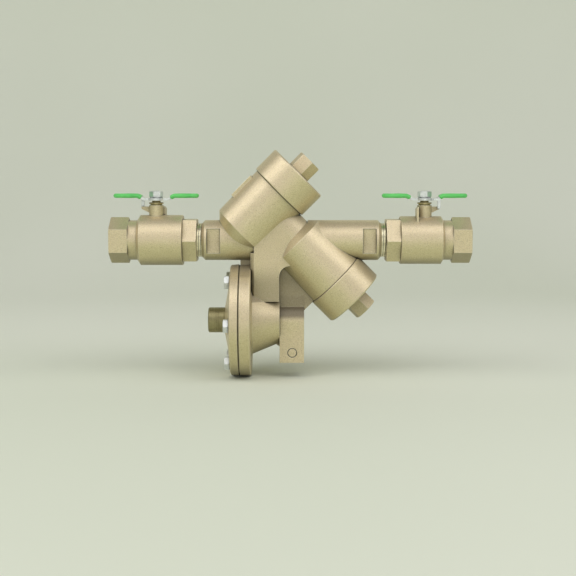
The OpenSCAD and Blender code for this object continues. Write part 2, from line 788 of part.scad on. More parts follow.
module relief_guide_bush() color(ptfe) at_relief()
    ring(bush_r, end_pin_r + fit, -12.6 - bush_l, -12.6);

module relief_stem() color(steel) {
    nut_x = plate_face - diaphragm_t - inlet_plate_t - 5;
    pin_end = -22.7;
    shoulder = plate_face + zone_plate_t + fit;
    disc_x = relief_lip_x - relief_travel - face_gap;
    holder = disc_x - relief_disc_t;
    tip = spout_x + 0.9;
    at_relief() rotate_extrude() polygon([
        [0, pin_end], [end_pin_r, pin_end], [end_pin_r, nut_x], [stem_main_r, nut_x],
        [stem_main_r, shoulder], [7, shoulder], [7, shoulder + 3], [4.5, shoulder + 3],
        [4.5, holder - 4], [relief_disc_r + 1.5, holder - 4], [relief_disc_r + 1.5, disc_x - 1.5],
        [relief_disc_r + fit, disc_x - 1.5], [relief_disc_r + fit, holder], [tail_pin_r, holder],
        [tail_pin_r, tip], [0, tip]
    ]);
}

module relief_inlet_plate() color(steel) at_relief()
    ring(plate_r, stem_main_r + fit, plate_face - diaphragm_t - inlet_plate_t, plate_face - diaphragm_t);

module relief_zone_plate() color(steel) at_relief()
    ring(plate_r, stem_main_r + fit, plate_face, plate_face + zone_plate_t);

module relief_stem_nut() color(zinc) at_relief()
    translate([0, 0, plate_face - diaphragm_t - inlet_plate_t - 4]) difference() {
        hex_prism(13, 4, 0.6);
        rod(stem_main_r + fit, -1, 6);
    }

module relief_spring() color(steel) at_relief() translate([0, 0, plate_face + zone_plate_t + 0.1])
    coil_spring(relief_coil_r, relief_wire_d, relief_floor - plate_face - zone_plate_t - 0.2, 5);

module relief_disc() color(rubber) at_relief() {
    face = relief_lip_x - relief_travel - face_gap;
    ring(relief_disc_r, tail_pin_r + fit, face - relief_disc_t + face_gap, face);
}

module relief_disc_retainer() color(steel) at_relief() {
    face = relief_lip_x - relief_travel;
    ring(7, tail_pin_r + fit, face, face + 1.5);
}

module relief_seat() color(brass) at_relief() {
    lip_x = relief_lip_x;
    end_x = relief_floor + relief_seat_thread_l;
    arm = 2.4;
    hub_x = end_x - 5;
    difference() {
        rotate_extrude() polygon([
            [relief_seat_bore_r, lip_x + relief_lip], [relief_seat_bore_r + 0.6, lip_x],
            [relief_seat_bore_r + 1.6, lip_x], [relief_seat_bore_r + 2, lip_x + relief_lip],
            [relief_seat_flange_r, lip_x + relief_lip], [relief_seat_flange_r, relief_floor],
            [relief_seat_thread_r, relief_floor], [relief_seat_thread_r, end_x],
            [relief_seat_bore_r, end_x]
        ]);
        ring(relief_seal_r + relief_groove_w / 2, relief_seal_r - relief_groove_w / 2,
            relief_floor - relief_groove_w, relief_floor + 1);
    }
    difference() {
        union() {
            rod(5.2, hub_x, end_x);
            for (i = [0:2]) rotate([0, 0, 120 * i]) translate([0, -arm / 2, hub_x + 1])
                cube([relief_seat_bore_r + 1, arm, end_x - hub_x - 1]);
        }
        rod(tail_pin_r + fit, hub_x - 1, end_x + 1);
    }
}

module relief_seat_oring() color(rubber) at_relief()
    oring(relief_seal_r, relief_floor - relief_groove_w / 2, relief_seal_section);

// ---- Ball valves: drawn from the stem axis, the outer end along -X ----

module bonnet() rod(bonnet_r, cavity_r - 1, bonnet_top);

// Stops behind the bonnet: the handle's tab rests on the outer lug when open, on the fin when shut
module stop_lugs() {
    translate([0, lug_back, 0]) rotate([90, 0, 0]) linear_extrude(height = lug_w) polygon([
        [-4, lug_top - 7], [-8, lug_top - 6], [-lug_reach, lug_top - 2.4], [-lug_reach, lug_top],
        [-4, lug_top]
    ]);
    near = lug_back + tab_w + 2 * tab_gap;
    translate([0, lug_reach, 0]) rotate([90, 0, 0]) linear_extrude(height = lug_reach) polygon([
        [near, cavity_r - 1], [near + fin_w, cavity_r - 1], [near + fin_w, lug_top - fin_w],
        [near + 0.4, lug_top], [near, lug_top]
    ]);
}

module valve_body(barrel_r, barrel_in_l) color(bronze) {
    outer = -stem_x;
    neck_x = outer + end_hex_l;
    barrel_x = -barrel_out_l;
    lip = neck_r + 0.45;
    difference() {
        union() {
            translate([outer, 0, 0]) along_x() hex_prism(end_hex_af, end_hex_l, 0.5);
            along_x() rotate_extrude() polygon([
                [0, neck_x - eps], [neck_r, neck_x - eps], [neck_r, barrel_x], [lip, barrel_x],
                [barrel_r, barrel_x + 0.65 * (barrel_r - lip)], [barrel_r, barrel_in_l - 0.6],
                [barrel_r - 0.6, barrel_in_l], [0, barrel_in_l]
            ]);
            bonnet();
            stop_lugs();
        }
        along_x() {
            rod(port_d / 2, outer - eps, outer + port_l);
            rod(waterway_r, outer, 0);
            rod(seat_ring_r + fit, -seat_face, 0);
            rod(cavity_r, 0.3 - seat_face + seat_ring_l, barrel_in_l + eps);
        }
        rod(stem_pocket_r, 0, pocket_top);
        rod(stem_r + fit, 0, bonnet_top + 1);
        rod(stuffing_r, stuffing_z, bonnet_top + 1);
    }
}

module inlet_valve_body() at_inlet() color(bronze) difference() {
    union() {
        valve_body(inlet_barrel_d / 2, inlet_barrel_l);
        translate([cock1_x - stem_x, cock1_face, 0]) difference() {
            cock_boss(cock1_face - neck_r + 2);
            along_y() rod(cock_thread_d / 2, -cock_thread_l, 1);
        }
    }
    translate([cock1_x - stem_x, cock1_face, 0]) cock_hole(cock1_face - waterway_r + 1);
}

module retainer(barrel_in_l) color(bronze) {
    nose = seat_face - seat_ring_l - 0.5;
    hex_end = barrel_in_l + retainer_l;
    tail_end = hex_end + tail_gap + tail_thread_l;
    along_x() difference() {
        union() {
            translate([0, 0, barrel_in_l]) rotate([0, 0, 30]) hex_prism(retainer_af, retainer_l, 0.5);
            rod(cavity_r - fit, nose, barrel_in_l + eps);
            rotate_extrude() polygon([
                [0, hex_end - eps], [tail_r, hex_end - eps], [tail_r, tail_end - 0.8],
                [tail_r - 0.8, tail_end], [pilot_r, tail_end], [pilot_r, tail_end + pilot_l],
                [0, tail_end + pilot_l]
            ]);
        }
        rod(waterway_r, 0, tail_end + pilot_l + 1);
        rod(seat_ring_r + fit, 0, seat_face);
    }
}

module ball() color(zinc) difference() {
    sphere(r = ball_r);
    along_x() rod(waterway_r, -ball_r, ball_r);
    translate([-slot_w / 2, -ball_r, ball_r - slot_depth]) cube([slot_w, ball_d, ball_r]);
}

module ball_seats() color(ptfe) difference() {
    for (side = [-1, 1]) scale([side, 1, 1]) along_x()
        ring(seat_ring_r, waterway_r, seat_face - seat_ring_l, seat_face - fit);
    sphere(r = ball_r + fit);
}

module valve_stem() color(steel) {
    shoulder_top = shoulder_z + shoulder_h;
    thread_top = handle_z + handle_t + nut_gap + nut_h - 0.4;
    translate([-tang_w / 2, -tang_l / 2, ball_r - slot_depth + 0.4])
        cube([tang_w, tang_l, slot_depth - 0.4 + eps]);
    rod(shoulder_r, shoulder_z, shoulder_top);
    rod(stem_r - fit, shoulder_top - eps, handle_z);
    intersection() {
        rod(thread_r, handle_z - eps, thread_top);
        union() {
            translate([-thread_r, -thread_flat, handle_z - 1])
                cube([2 * thread_r, 2 * thread_flat, handle_t + 1.2]);
            rod(thread_r, handle_z + handle_t + 0.2, thread_top);
        }
    }
}

module thrust_washer() color(ptfe)
    ring(shoulder_r, stem_r + fit, shoulder_z + shoulder_h + fit, pocket_top - fit);

module packing() color(ptfe)
    ring(stuffing_r - fit, stem_r + fit, stuffing_z + fit, stuffing_z + packing_h);

module gland() color(brass) difference() {
    union() {
        rod(stuffing_r - fit, stuffing_z + packing_h + fit, gland_z + eps);
        rod(gland_d / 2, gland_z, gland_z + gland_flange_t);
    }
    rod(stem_r + fit, 0, handle_z + 1);
}

// The handle's strip without its tab: flat centre, two ramps and two raised wings
module handle_strip(grow = 0) {
    tip = handle_reach - 1.6;
    low = handle_z - grow;
    high = handle_z + handle_t + grow;
    shift = grow * ramp_bend;
    low_in = handle_flat - shift;
    low_out = low_in + ramp_run;
    high_in = handle_flat - (handle_t + grow) * ramp_bend;
    high_out = high_in + ramp_run;
    intersection() {
        rotate([90, 0, 0]) linear_extrude(height = 2 * grip_w, center = true) polygon([
            [-tip - grow, low + wing_rise], [-low_out, low + wing_rise], [-low_in, low], [low_in, low],
            [low_out, low + wing_rise], [tip + grow, low + wing_rise], [tip + grow, high + wing_rise],
            [high_out, high + wing_rise], [high_in, high], [-high_in, high],
            [-high_out, high + wing_rise], [-tip - grow, high + wing_rise]
        ]);
        translate([0, 0, handle_z - 5]) linear_extrude(height = 30) union() {
            circle(r = handle_w / 2 + 3.5);
            translate([handle_w / 2 - tip, -handle_w / 2 - grow])
                square([2 * tip - handle_w, handle_w + 2 * grow]);
            for (side = [-1, 1]) translate([side * (tip - handle_w / 2), 0]) circle(r = handle_w / 2 + grow);
        }
    }
}

module handle() color(zinc) difference() {
    union() {
        handle_strip();
        translate([-tab_x - tab_t / 2, lug_back + tab_gap, handle_z - tab_drop])
            cube([tab_t, tab_w, tab_drop + handle_t / 2]);
        translate([-tab_x - tab_t / 2, lug_back + tab_gap, handle_z])
            cube([tab_t + 4, tab_w, handle_t]);
    }
    intersection() {
        rod(thread_r + fit, handle_z - 1, handle_z + handle_t + 1);
        translate([-5, -thread_flat - fit, handle_z - 1]) cube([10, 2 * (thread_flat + fit), 10]);
    }
}

// A grip's outline across the wing: flat faces with round edges
module grip_section() {
    flat = grip_w - grip_t;
    square([grip_t, flat], center = true);
    for (side = [-1, 1]) translate([0, side * flat / 2]) circle(d = grip_t);
}

// One dip-moulded sleeve on the +X wing: it starts down the ramp and ends in a round edge
module grip() {
    start = handle_reach - grip_l;
    bend_x = handle_flat + ramp_run - handle_t * ramp_bend / 2;
    end_c = handle_reach - grip_w / 2;
    r = grip_t / 2;
    difference() {
        union() {
            translate([bend_x - 0.3, 0, wing_z]) along_x()
                linear_extrude(height = end_c - bend_x + 0.3) grip_section();
            translate([bend_x, 0, wing_z]) rotate([0, 90 - ramp_angle, 0])
                translate([0, 0, (start - bend_x) / cos(ramp_angle)])
                    linear_extrude(height = (bend_x - start) / cos(ramp_angle) + 0.4) grip_section();
            translate([end_c, 0, wing_z]) rotate_extrude() union() {
                translate([0, -r]) square([grip_w / 2 - r, grip_t]);
                translate([grip_w / 2 - r, 0]) circle(r = r);
            }
        }
        handle_strip(fit);
    }
}

module grips() color(vinyl) for (turn = [0, 180]) rotate([0, 0, turn]) grip();

module handle_nut(turn) color(zinc) translate([0, 0, handle_z + handle_t + nut_gap]) difference() {
    union() {
        rotate([0, 0, turn]) hex_prism(nut_af, nut_h, 0.9);
        rod(nut_af / 2 + 0.4, -nut_gap + 0.02, 0.2);
    }
    rod(thread_r + fit, -1, nut_h + 1);
}

module inlet_retainer() at_inlet() retainer(inlet_barrel_l);
module inlet_ball() at_inlet() ball();
module inlet_ball_seats() at_inlet() ball_seats();
module inlet_stem() at_inlet() valve_stem();
module inlet_thrust_washer() at_inlet() thrust_washer();
module inlet_packing() at_inlet() packing();
module inlet_gland() at_inlet() gland();
module inlet_handle() at_inlet() handle();
module inlet_grips() at_inlet() grips();
module inlet_handle_nut() at_inlet() handle_nut(inlet_nut_turn);
module outlet_valve_body() at_outlet() valve_body(outlet_barrel_d / 2, outlet_barrel_l);
module outlet_retainer() at_outlet() retainer(outlet_barrel_l);
module outlet_ball() at_outlet() ball();
module outlet_ball_seats() at_outlet() ball_seats();
module outlet_stem() at_outlet() valve_stem();
module outlet_thrust_washer() at_outlet() thrust_washer();
module outlet_packing() at_outlet() packing();
module outlet_gland() at_outlet() gland();
module outlet_handle() at_outlet() handle();
module outlet_grips() at_outlet() grips();
module outlet_handle_nut() at_outlet() handle_nut(outlet_nut_turn);

// ---- Test cocks: drawn from the boss face, the outlet along +Y ----

module test_cock() {
    difference() {
        union() {
            along_y() {
                rod(cock_thread_d / 2 - fit, -cock_thread_l, eps);
                hex_prism(cock_af, cock_hex_l, 0.8);
                rotate_extrude() polygon([
                    [0, cock_hex_l - eps], [cock_barrel_d / 2 - 1, cock_hex_l - eps],
                    [cock_barrel_d / 2, cock_hex_l + 1], [cock_barrel_d / 2, cock_l - 1],
                    [cock_barrel_d / 2 - 1, cock_l], [0, cock_l]
                ]);
            }
            translate([0, cock_plug_y, 0]) rod(cock_plug_d / 2 + 2, 0, cock_neck_h);
        }
        along_y() {
            rod(cock_way_r, -cock_thread_l - 1, cock_l);
            rod(cock_port_r, cock_l - cock_port_l, cock_l + 1);
        }
        translate([0, cock_plug_y, 0]) rod(cock_plug_d / 2 + fit, cock_plug_bottom - fit, cock_neck_h + 1);
    }
}

module test_cock_bodies() color(brass) for (i = [0:3]) at_cock(i) test_cock();

// The quarter-turn plug: its cross hole lies across the way at rest, so the cock is shut
module test_cock_stem(i) color(zinc) at_cock(i) translate([0, cock_plug_y, 0]) difference() {
    union() {
        rod(cock_plug_d / 2, cock_plug_bottom, cock_neck_h + 0.6);
        rod(cock_plug_d / 2 - 1, cock_neck_h, cock_plug_top);
    }
    along_x() rod(cock_way_r, -cock_plug_d, cock_plug_d);
    translate([-cock_plug_d, -0.7, cock_plug_top - 2]) cube([2 * cock_plug_d, 1.4, 3]);
}

module test_cock_1_stem() test_cock_stem(0);
module test_cock_2_stem() test_cock_stem(1);
module test_cock_3_stem() test_cock_stem(2);
module test_cock_4_stem() test_cock_stem(3);

main_body();
check1_cap();
check1_cap_oring();
check1_seat();
check1_seat_oring();
check1_spring();
check1_poppet();
check1_disc();
check1_disc_retainer();
check1_retainer_screw();
check2_cap();
check2_cap_oring();
check2_seat();
check2_seat_oring();
check2_spring();
check2_poppet();
check2_disc();
check2_disc_retainer();
check2_retainer_screw();
relief_cover();
relief_diaphragm();
relief_bolts();
relief_port_fitting();
relief_guide_bush();
relief_stem();
relief_inlet_plate();
relief_zone_plate();
relief_stem_nut();
relief_spring();
relief_disc();
relief_disc_retainer();
relief_seat();
relief_seat_oring();
inlet_valve_body();
inlet_retainer();
inlet_ball();
inlet_ball_seats();
inlet_stem();
inlet_thrust_washer();
inlet_packing();
inlet_gland();
inlet_handle();
inlet_grips();
inlet_handle_nut();
outlet_valve_body();
outlet_retainer();
outlet_ball();
outlet_ball_seats();
outlet_stem();
outlet_thrust_washer();
outlet_packing();
outlet_gland();
outlet_handle();
outlet_grips();
outlet_handle_nut();
test_cock_bodies();
test_cock_1_stem();
test_cock_2_stem();
test_cock_3_stem();
test_cock_4_stem();
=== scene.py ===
"""Dress the angled-check backflow preventer: finishes, threads, sleeves and the studio round it."""

import json
import logging
import math
from dataclasses import dataclass, field
from enum import Enum
from typing import Union

import bmesh
import bpy
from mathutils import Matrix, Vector

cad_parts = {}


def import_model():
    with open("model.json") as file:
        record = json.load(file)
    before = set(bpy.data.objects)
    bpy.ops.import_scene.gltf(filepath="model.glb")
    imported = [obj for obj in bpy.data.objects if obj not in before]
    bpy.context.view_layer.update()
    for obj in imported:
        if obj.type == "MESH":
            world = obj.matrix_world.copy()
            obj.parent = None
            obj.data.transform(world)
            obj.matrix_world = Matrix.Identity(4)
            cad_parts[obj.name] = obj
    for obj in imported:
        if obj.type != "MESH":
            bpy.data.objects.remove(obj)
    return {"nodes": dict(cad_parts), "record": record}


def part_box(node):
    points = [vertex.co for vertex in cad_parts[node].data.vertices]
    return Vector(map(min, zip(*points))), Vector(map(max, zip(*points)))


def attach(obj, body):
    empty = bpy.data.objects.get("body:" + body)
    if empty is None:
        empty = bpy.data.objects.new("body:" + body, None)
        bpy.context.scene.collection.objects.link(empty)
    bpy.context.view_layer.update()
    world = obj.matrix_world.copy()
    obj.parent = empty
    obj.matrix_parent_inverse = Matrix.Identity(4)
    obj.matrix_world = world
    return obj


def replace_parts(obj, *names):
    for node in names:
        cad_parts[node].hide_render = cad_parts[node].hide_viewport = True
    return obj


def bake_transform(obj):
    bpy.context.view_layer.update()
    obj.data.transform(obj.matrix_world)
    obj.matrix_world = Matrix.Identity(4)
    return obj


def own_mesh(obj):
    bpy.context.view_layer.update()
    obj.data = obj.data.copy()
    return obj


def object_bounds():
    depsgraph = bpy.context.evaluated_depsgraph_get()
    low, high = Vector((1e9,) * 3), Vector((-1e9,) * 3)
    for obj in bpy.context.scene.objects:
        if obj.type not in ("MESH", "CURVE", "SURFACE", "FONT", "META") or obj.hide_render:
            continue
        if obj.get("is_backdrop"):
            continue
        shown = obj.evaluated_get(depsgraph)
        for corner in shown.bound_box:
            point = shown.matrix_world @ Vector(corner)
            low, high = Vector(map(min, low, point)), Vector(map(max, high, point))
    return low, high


LOG = logging.getLogger("backflow_preventer")
MM = 0.001

Colour = tuple[float, float, float]
Number = Union[int, float]

# The directions of the first and the second check's axes.
RISING = (0.7071, 0.0, 0.7071)
FALLING = (0.7071, 0.0, -0.7071)


class Axis(Enum):
    """The direction that a turned part was turned about."""

    X = (1.0, 0.0, 0.0)
    Y = (0.0, 1.0, 0.0)
    Z = (0.0, 0.0, 1.0)


class Side(Enum):
    """Which way a thread's ridge stands from the surface that it is cut in."""

    OUTSIDE = -1.0
    INSIDE = 1.0


class End(Enum):
    """The two ends of the fitting."""

    INLET = "inlet"
    OUTLET = "outlet"


# ---- colours


def linear(red: Number, green: Number, blue: Number) -> Colour:
    """Turn a display colour into the linear one that a shader takes.

    Args:
        red: Red, 0 to 255.
        green: Green, 0 to 255.
        blue: Blue, 0 to 255.

    Returns:
        The linear colour, 0 to 1.
    """
    parts = []
    for value in (red, green, blue):
        share = value / 255
        parts.append(share / 12.92 if share <= 0.04045 else ((share + 0.055) / 1.055) ** 2.4)
    return parts[0], parts[1], parts[2]


def rgba(colour: Colour) -> tuple[float, float, float, float]:
    """Add a full alpha to a colour."""
    return colour[0], colour[1], colour[2], 1.0


# ---- node trees


def feed(tree: bpy.types.NodeTree, socket: bpy.types.NodeSocket, value: object) -> None:
    """Link or set one input.

    Args:
        tree: The tree that the input is in.
        socket: The input.
        value: A value or socket to link, or a colour, number or other plain value to set.
    """
    if isinstance(value, Signal):
        value = value.socket
    if isinstance(value, bpy.types.NodeSocket):
        tree.links.new(value, socket)
    elif isinstance(value, tuple) and socket.type == "RGBA":
        socket.default_value = rgba(value)
    elif value is not None:
        socket.default_value = value


def add_node(tree: bpy.types.NodeTree, kind: str, settings: "dict[str, object] | None" = None,
             **inputs: object) -> bpy.types.Node:
    """Add a node of any kind.

    Args:
        tree: The tree that it goes in.
        kind: The node's type.
        settings: Its settings, such as a Math node's operation, which are made first.
        inputs: Each input's name, with _ for a space, or i and its number, and what goes in it.

    Returns:
        The node.
    """
    made = tree.nodes.new(kind)
    for name, value in (settings or {}).items():
        setattr(made, name, value)
    for name, value in inputs.items():
        if name[0] == "i" and name[1:].isdigit():
            socket = made.inputs[int(name[1:])]
        else:
            title = name.replace("_", " ")
            socket = next(s for s in made.inputs if s.name == title and s.enabled)
        feed(tree, socket, value)
    return made


class Signal:
    """A value on its way through a node tree, which plain arithmetic works on."""

    def __init__(self, tree: bpy.types.NodeTree, socket: bpy.types.NodeSocket) -> None:
        """Keep the tree and the output socket that the value comes from."""
        self.tree = tree
        self.socket = socket

    def _math(self, operation: str, first: "Signal | Number",
              second: "Signal | Number | None" = None) -> "Signal":
        """Add one Math node.

        Args:
            operation: The operation, such as ADD.
            first: The first input.
            second: The second input, where there is one.

        Returns:
            The node's result.
        """
        node = add_node(self.tree, "ShaderNodeMath", {"operation": operation},
                        i0=first, i1=second)
        return Signal(self.tree, node.outputs[0])

    def __add__(self, other: "Signal | Number") -> "Signal":
        """Add two values."""
        return self._math("ADD", self, other)

    def __radd__(self, other: Number) -> "Signal":
        """Add the value to a number."""
        return self._math("ADD", other, self)

    def __sub__(self, other: "Signal | Number") -> "Signal":
        """Take another value from this one."""
        return self._math("SUBTRACT", self, other)

    def __rsub__(self, other: Number) -> "Signal":
        """Take the value from a number."""
        return self._math("SUBTRACT", other, self)

    def __mul__(self, other: "Signal | Number") -> "Signal":
        """Multiply two values."""
        return self._math("MULTIPLY", self, other)

    def __rmul__(self, other: Number) -> "Signal":
        """Multiply a number by the value."""
        return self._math("MULTIPLY", other, self)

    def __abs__(self) -> "Signal":
        """The value without its sign."""
        return self._math("ABSOLUTE", self)

    def between(self, low: float, high: float) -> "Signal":
        """Stretch the part of the value from low to high over 0 to 1, smoothly.

        Args:
            low: The value that gives 0.
            high: The value that gives 1.

        Returns:
            The stretched value, kept from 0 to 1.
        """
        node = add_node(self.tree, "ShaderNodeMapRange", {"interpolation_type": "SMOOTHSTEP"},
                        Value=self, From_Min=low, From_Max=high)
        return Signal(self.tree, node.outputs["Result"])


Fill = Union[Signal, bpy.types.NodeSocket, Colour, Number, None]


@dataclass(frozen=True)
class Layer:
    """A flat layer of space between two parallel planes, all in millimetres."""

    direction: tuple[float, float, float]
    low: float
    high: float
    fade: float


@dataclass(frozen=True)
class ShadeAndJointDirt:
    """A place painted dark on the bronze, for painted shade and for dirt in joints: where all its
    layers cross.
    """

    strength: float
    layers: tuple[Layer, ...]


class Paint:
    """One material's node tree, with the patterns that the finishes are mixed from."""

    def __init__(self, name: str) -> None:
        """Start a material with an empty tree and one surface shader.

        Args:
            name: The material's name.
        """
        self.material = bpy.data.materials.new(name)
        self.material.use_nodes = True
        self.tree = self.material.node_tree
        self.tree.nodes.clear()
        self.shader = self.node("ShaderNodeBsdfPrincipled")
        self.node("ShaderNodeOutputMaterial", Surface=self.shader.outputs["BSDF"])
        self.place = self.node("ShaderNodeTexCoord").outputs["Object"]
        self.facing = self.node("ShaderNodeNewGeometry").outputs["Normal"]

    def node(self, kind: str, settings: "dict[str, object] | None" = None,
             **inputs: Fill) -> bpy.types.Node:
        """Add a node to the material's tree, as add_node does."""
        return add_node(self.tree, kind, settings, **inputs)

    def signal(self, socket: bpy.types.NodeSocket) -> Signal:
        """Wrap a socket so that arithmetic works on it."""
        return Signal(self.tree, socket)

    def vectors(self, operation: str, first: Fill, second: Fill = None,
                result: str = "Vector") -> bpy.types.NodeSocket:
        """Add one Vector Math node.

        Args:
            operation: The operation, such as ADD.
            first: The first vector.
            second: The second vector, where there is one.
            result: The name of the output that is wanted.

        Returns:
            The output.
        """
        return self.node("ShaderNodeVectorMath", {"operation": operation},
                         i0=first, i1=second).outputs[result]

    def noise(self, size: float, detail: float = 2.0, rough: float = 0.5,
              stretch: "tuple[float, float, float] | None" = None) -> Signal:
        """Soft random variation.

        Args:
            size: The size of one blob, in metres.
            detail: How many finer layers lie on it.
            rough: How strong the finer layers are.
            stretch: How much finer it is along X, Y and Z.

        Returns:
            A value round 0.5.
        """
        place = self.place
        if stretch is not None:
            place = self.node("ShaderNodeMapping", Vector=place, Scale=stretch).outputs[0]
        return self.signal(self.node("ShaderNodeTexNoise", Vector=place, Scale=1 / size,
                                     Detail=detail, Roughness=rough).outputs[0])

    def cells(self, size: float) -> Signal:
        """The distance to the nearest of many scattered points.

        Args:
            size: The usual distance between two points, in metres.

        Returns:
            The distance, as a share of the size.
        """
        return self.signal(self.node("ShaderNodeTexVoronoi", Vector=self.place,
                                     Scale=1 / size).outputs["Distance"])

    def along(self, axis: Axis, vector: "bpy.types.NodeSocket | None" = None) -> Signal:
        """One part of a vector, or of the place in metres where none is given."""
        node = self.node("ShaderNodeSeparateXYZ", Vector=vector or self.place)
        return self.signal(node.outputs[axis.name])

    def rings(self, axis: Axis, size: float) -> Signal:
        """Uneven turning lines round an axis.

        Args:
            axis: The axis that the part was turned about.
            size: The width of one line, in metres.

        Returns:
            A value round 0.5.
        """
        return self.noise(size, 3.0, 0.6, tuple(1.0 if part else 0.02 for part in axis.value))

    def soft_normal(self, radius: float) -> bpy.types.NodeSocket:
        """The surface's direction with its edges rounded over.

        Args:
            radius: The radius of the rounding, in metres.

        Returns:
            The socket that gives the direction.
        """
        return self.node("ShaderNodeBevel", {"samples": 6}, Radius=radius).outputs["Normal"]

    def edges(self, radius: float) -> Signal:
        """Where the surface turns sharply.

        Args:
            radius: How far from an edge it is still felt, in metres.

        Returns:
            0 on a flat or gently curved face and up to 1 at an edge.
        """
        likeness = self.vectors("DOT_PRODUCT", self.facing, self.soft_normal(radius), "Value")
        return (1 - self.signal(likeness)).between(0.004, 0.09)

    def openness(self, reach: float, lift: float = 0.0) -> Signal:
        """How open the surroundings are.

        Args:
            reach: How far it looks, in metres.
            lift: How much it looks up rather than straight out.

        Returns:
            1 in the open and less in a corner.
        """
        way = self.vectors("ADD", self.facing, (0.0, 0.0, lift))
        ahead = self.vectors("NORMALIZE", way)
        return self.signal(self.node("ShaderNodeAmbientOcclusion", {"samples": 8},
                                     Distance=reach, Normal=ahead).outputs["AO"])

    def within(self, layer: Layer) -> Signal:
        """Where the surface lies in a flat layer of space.

        Args:
            layer: The layer.

        Returns:
            1 inside, 0 outside and a soft step between them.
        """
        depth = self.signal(self.vectors("DOT_PRODUCT", self.place, layer.direction, "Value"))
        low, high, fade = layer.low * MM, layer.high * MM, layer.fade * MM
        return depth.between(low - fade, low) * (1 - depth.between(high, high + fade))

    def shade_and_dirt(self, shade_and_joint_dirt: ShadeAndJointDirt) -> Signal:
        """How dark the bronze is painted at one place, for painted shade and for dirt in joints.

        Args:
            shade_and_joint_dirt: The place.

        Returns:
            The place's strength where all its layers cross, and 0 outside them.
        """
        share = self.within(shade_and_joint_dirt.layers[0]) * shade_and_joint_dirt.strength
        for layer in shade_and_joint_dirt.layers[1:]:
            share = share * self.within(layer)
        return share

    def blend(self, share: Signal, first: "Colour | Signal",
              second: "Colour | Signal") -> Signal:
        """Mix two colours.

        Args:
            share: How much of the second one there is.
            first: The colour at 0.
            second: The colour at 1.

        Returns:
            The mixed colour.
        """
        node = self.node("ShaderNodeMix", {"data_type": "RGBA"}, Factor=share, A=first, B=second)
        return self.signal(next(s for s in node.outputs if s.enabled))

    def relief(self, height: Signal, depth: float,
               under: "bpy.types.NodeSocket | None" = None) -> bpy.types.NodeSocket:
        """Raise a pattern from the surface.

        Args:
            height: The pattern.
            depth: How far its 1 stands above its 0, in metres.
            under: The direction of the surface below it.

        Returns:
            The socket that gives the new direction.
        """
        return self.node("ShaderNodeBump", Height=height, Distance=depth,
                         Normal=under).outputs["Normal"]

    def set(self, **values: Fill) -> None:
        """Set or link the surface shader's inputs.

        Args:
            values: Each input's name, with _ for a space, and what goes in it.
        """
        for name, value in values.items():
            feed(self.tree, self.shader.inputs[name.replace("_", " ")], value)


# ---- finishes


@dataclass(frozen=True)
class Finish:
    """A finish that can be put on a piece."""

    name: str
    slot: str

    def paint(self, sheet: Paint) -> None:
        """Fill one material's tree; each kind of finish says how.

        Args:
            sheet: The material's tree.
        """
        raise NotImplementedError

    def material(self) -> bpy.types.Material:
        """The finish's material, made the first time that it is asked for."""
        made = bpy.data.materials.get(self.name)
        if made is None:
            sheet = Paint(self.name)
            self.paint(sheet)
            made = sheet.material
        return made


@dataclass(frozen=True)
class CastBronze(Finish):
    """Sand-cast bronze, grainy: tan above and olive below as painted light, a painted highlight on
    its edges, and painted shade underneath, in sheltered places and in corners.
    """

    warm: Colour = linear(226, 208, 176)
    olive: Colour = linear(222, 210, 164)
    bright: Colour = linear(250, 243, 220)
    dull: Colour = linear(108, 101, 80)
    joint_dirt_and_shade: Colour = linear(54, 48, 38)
    grain: float = 0.8 * MM
    mottle: float = 2.6 * MM
    patch: float = 26 * MM
    rounding: float = 0.9 * MM
    shelter: float = 45 * MM
    shelter_lift: float = 1.1
    crevice: float = 2.4 * MM
    roughcast: float = 0.16 * MM
    parting: bool = False
    shade_and_joint_dirt: tuple[ShadeAndJointDirt, ...] = ()

    def paint(self, sheet: Paint) -> None:
        """Mix the bronze."""
        patch = sheet.noise(self.patch, 2.0, 0.5)
        mottle = sheet.noise(self.mottle, 3.0, 0.6)
        grain = sheet.noise(self.grain, 2.0, 0.6)
        pits = 1 - sheet.cells(self.grain * 2.4).between(0.06, 0.2)
        edge = sheet.edges(self.rounding)
        shade = 1 - sheet.openness(self.shelter, self.shelter_lift).between(0.3, 0.9)
        corner = 1 - sheet.openness(self.crevice).between(0.35, 0.86)
        rise = sheet.along(Axis.Z, sheet.facing)
        # Painted light: tan where the surface faces up and olive where it faces down, with random
        # patches.
        tan = (rise + patch * 0.5).between(-0.15, 0.55)
        colour = sheet.blend(tan, self.olive, self.warm)
        colour = sheet.blend(mottle.between(0.35, 0.75) * 0.3, colour, self.olive)
        colour = sheet.blend(grain.between(0.5, 0.76) * 0.5, colour, self.bright)
        colour = sheet.blend((1 - grain.between(0.3, 0.46)) * 0.3, colour, self.dull)
        colour = sheet.blend(pits * 0.35, colour, self.dull)
        # Painted highlight: edges lighter, where light would catch them.
        colour = sheet.blend(edge * 0.75, colour, self.bright)
        # Painted shade in sheltered places, then painted shade on faces that point down.
        colour = sheet.blend(shade * 0.42, colour, self.dull)
        colour = sheet.blend((1 - rise.between(-1.0, -0.6)) * 0.5, colour, self.dull)
        # The listed places: painted shade where shadow falls, and dark dirt in the cap joints.
        for place in self.shade_and_joint_dirt:
            colour = sheet.blend(sheet.shade_and_dirt(place), colour, self.joint_dirt_and_shade)
        # Painted shade in corners and creases.
        colour = sheet.blend(corner * 0.85, colour, self.joint_dirt_and_shade)
        height = grain * 0.55 + mottle * 0.45 - pits * 0.25
        normal = sheet.relief(height, self.roughcast, sheet.soft_normal(self.rounding))
        if self.parting:
            line = 1 - abs(sheet.along(Axis.Y)).between(0.25 * MM, 0.7 * MM)
            normal = sheet.relief(line, 0.25 * MM, normal)
        sheet.set(Base_Color=colour, Normal=normal,
                  Metallic=0.84 - shade * 0.3 - pits * 0.2,
                  Roughness=0.38 + mottle * 0.16 + shade * 0.2 - edge * 0.06,
                  Coat_Weight=0.3, Coat_Roughness=0.32, Coat_IOR=1.7)


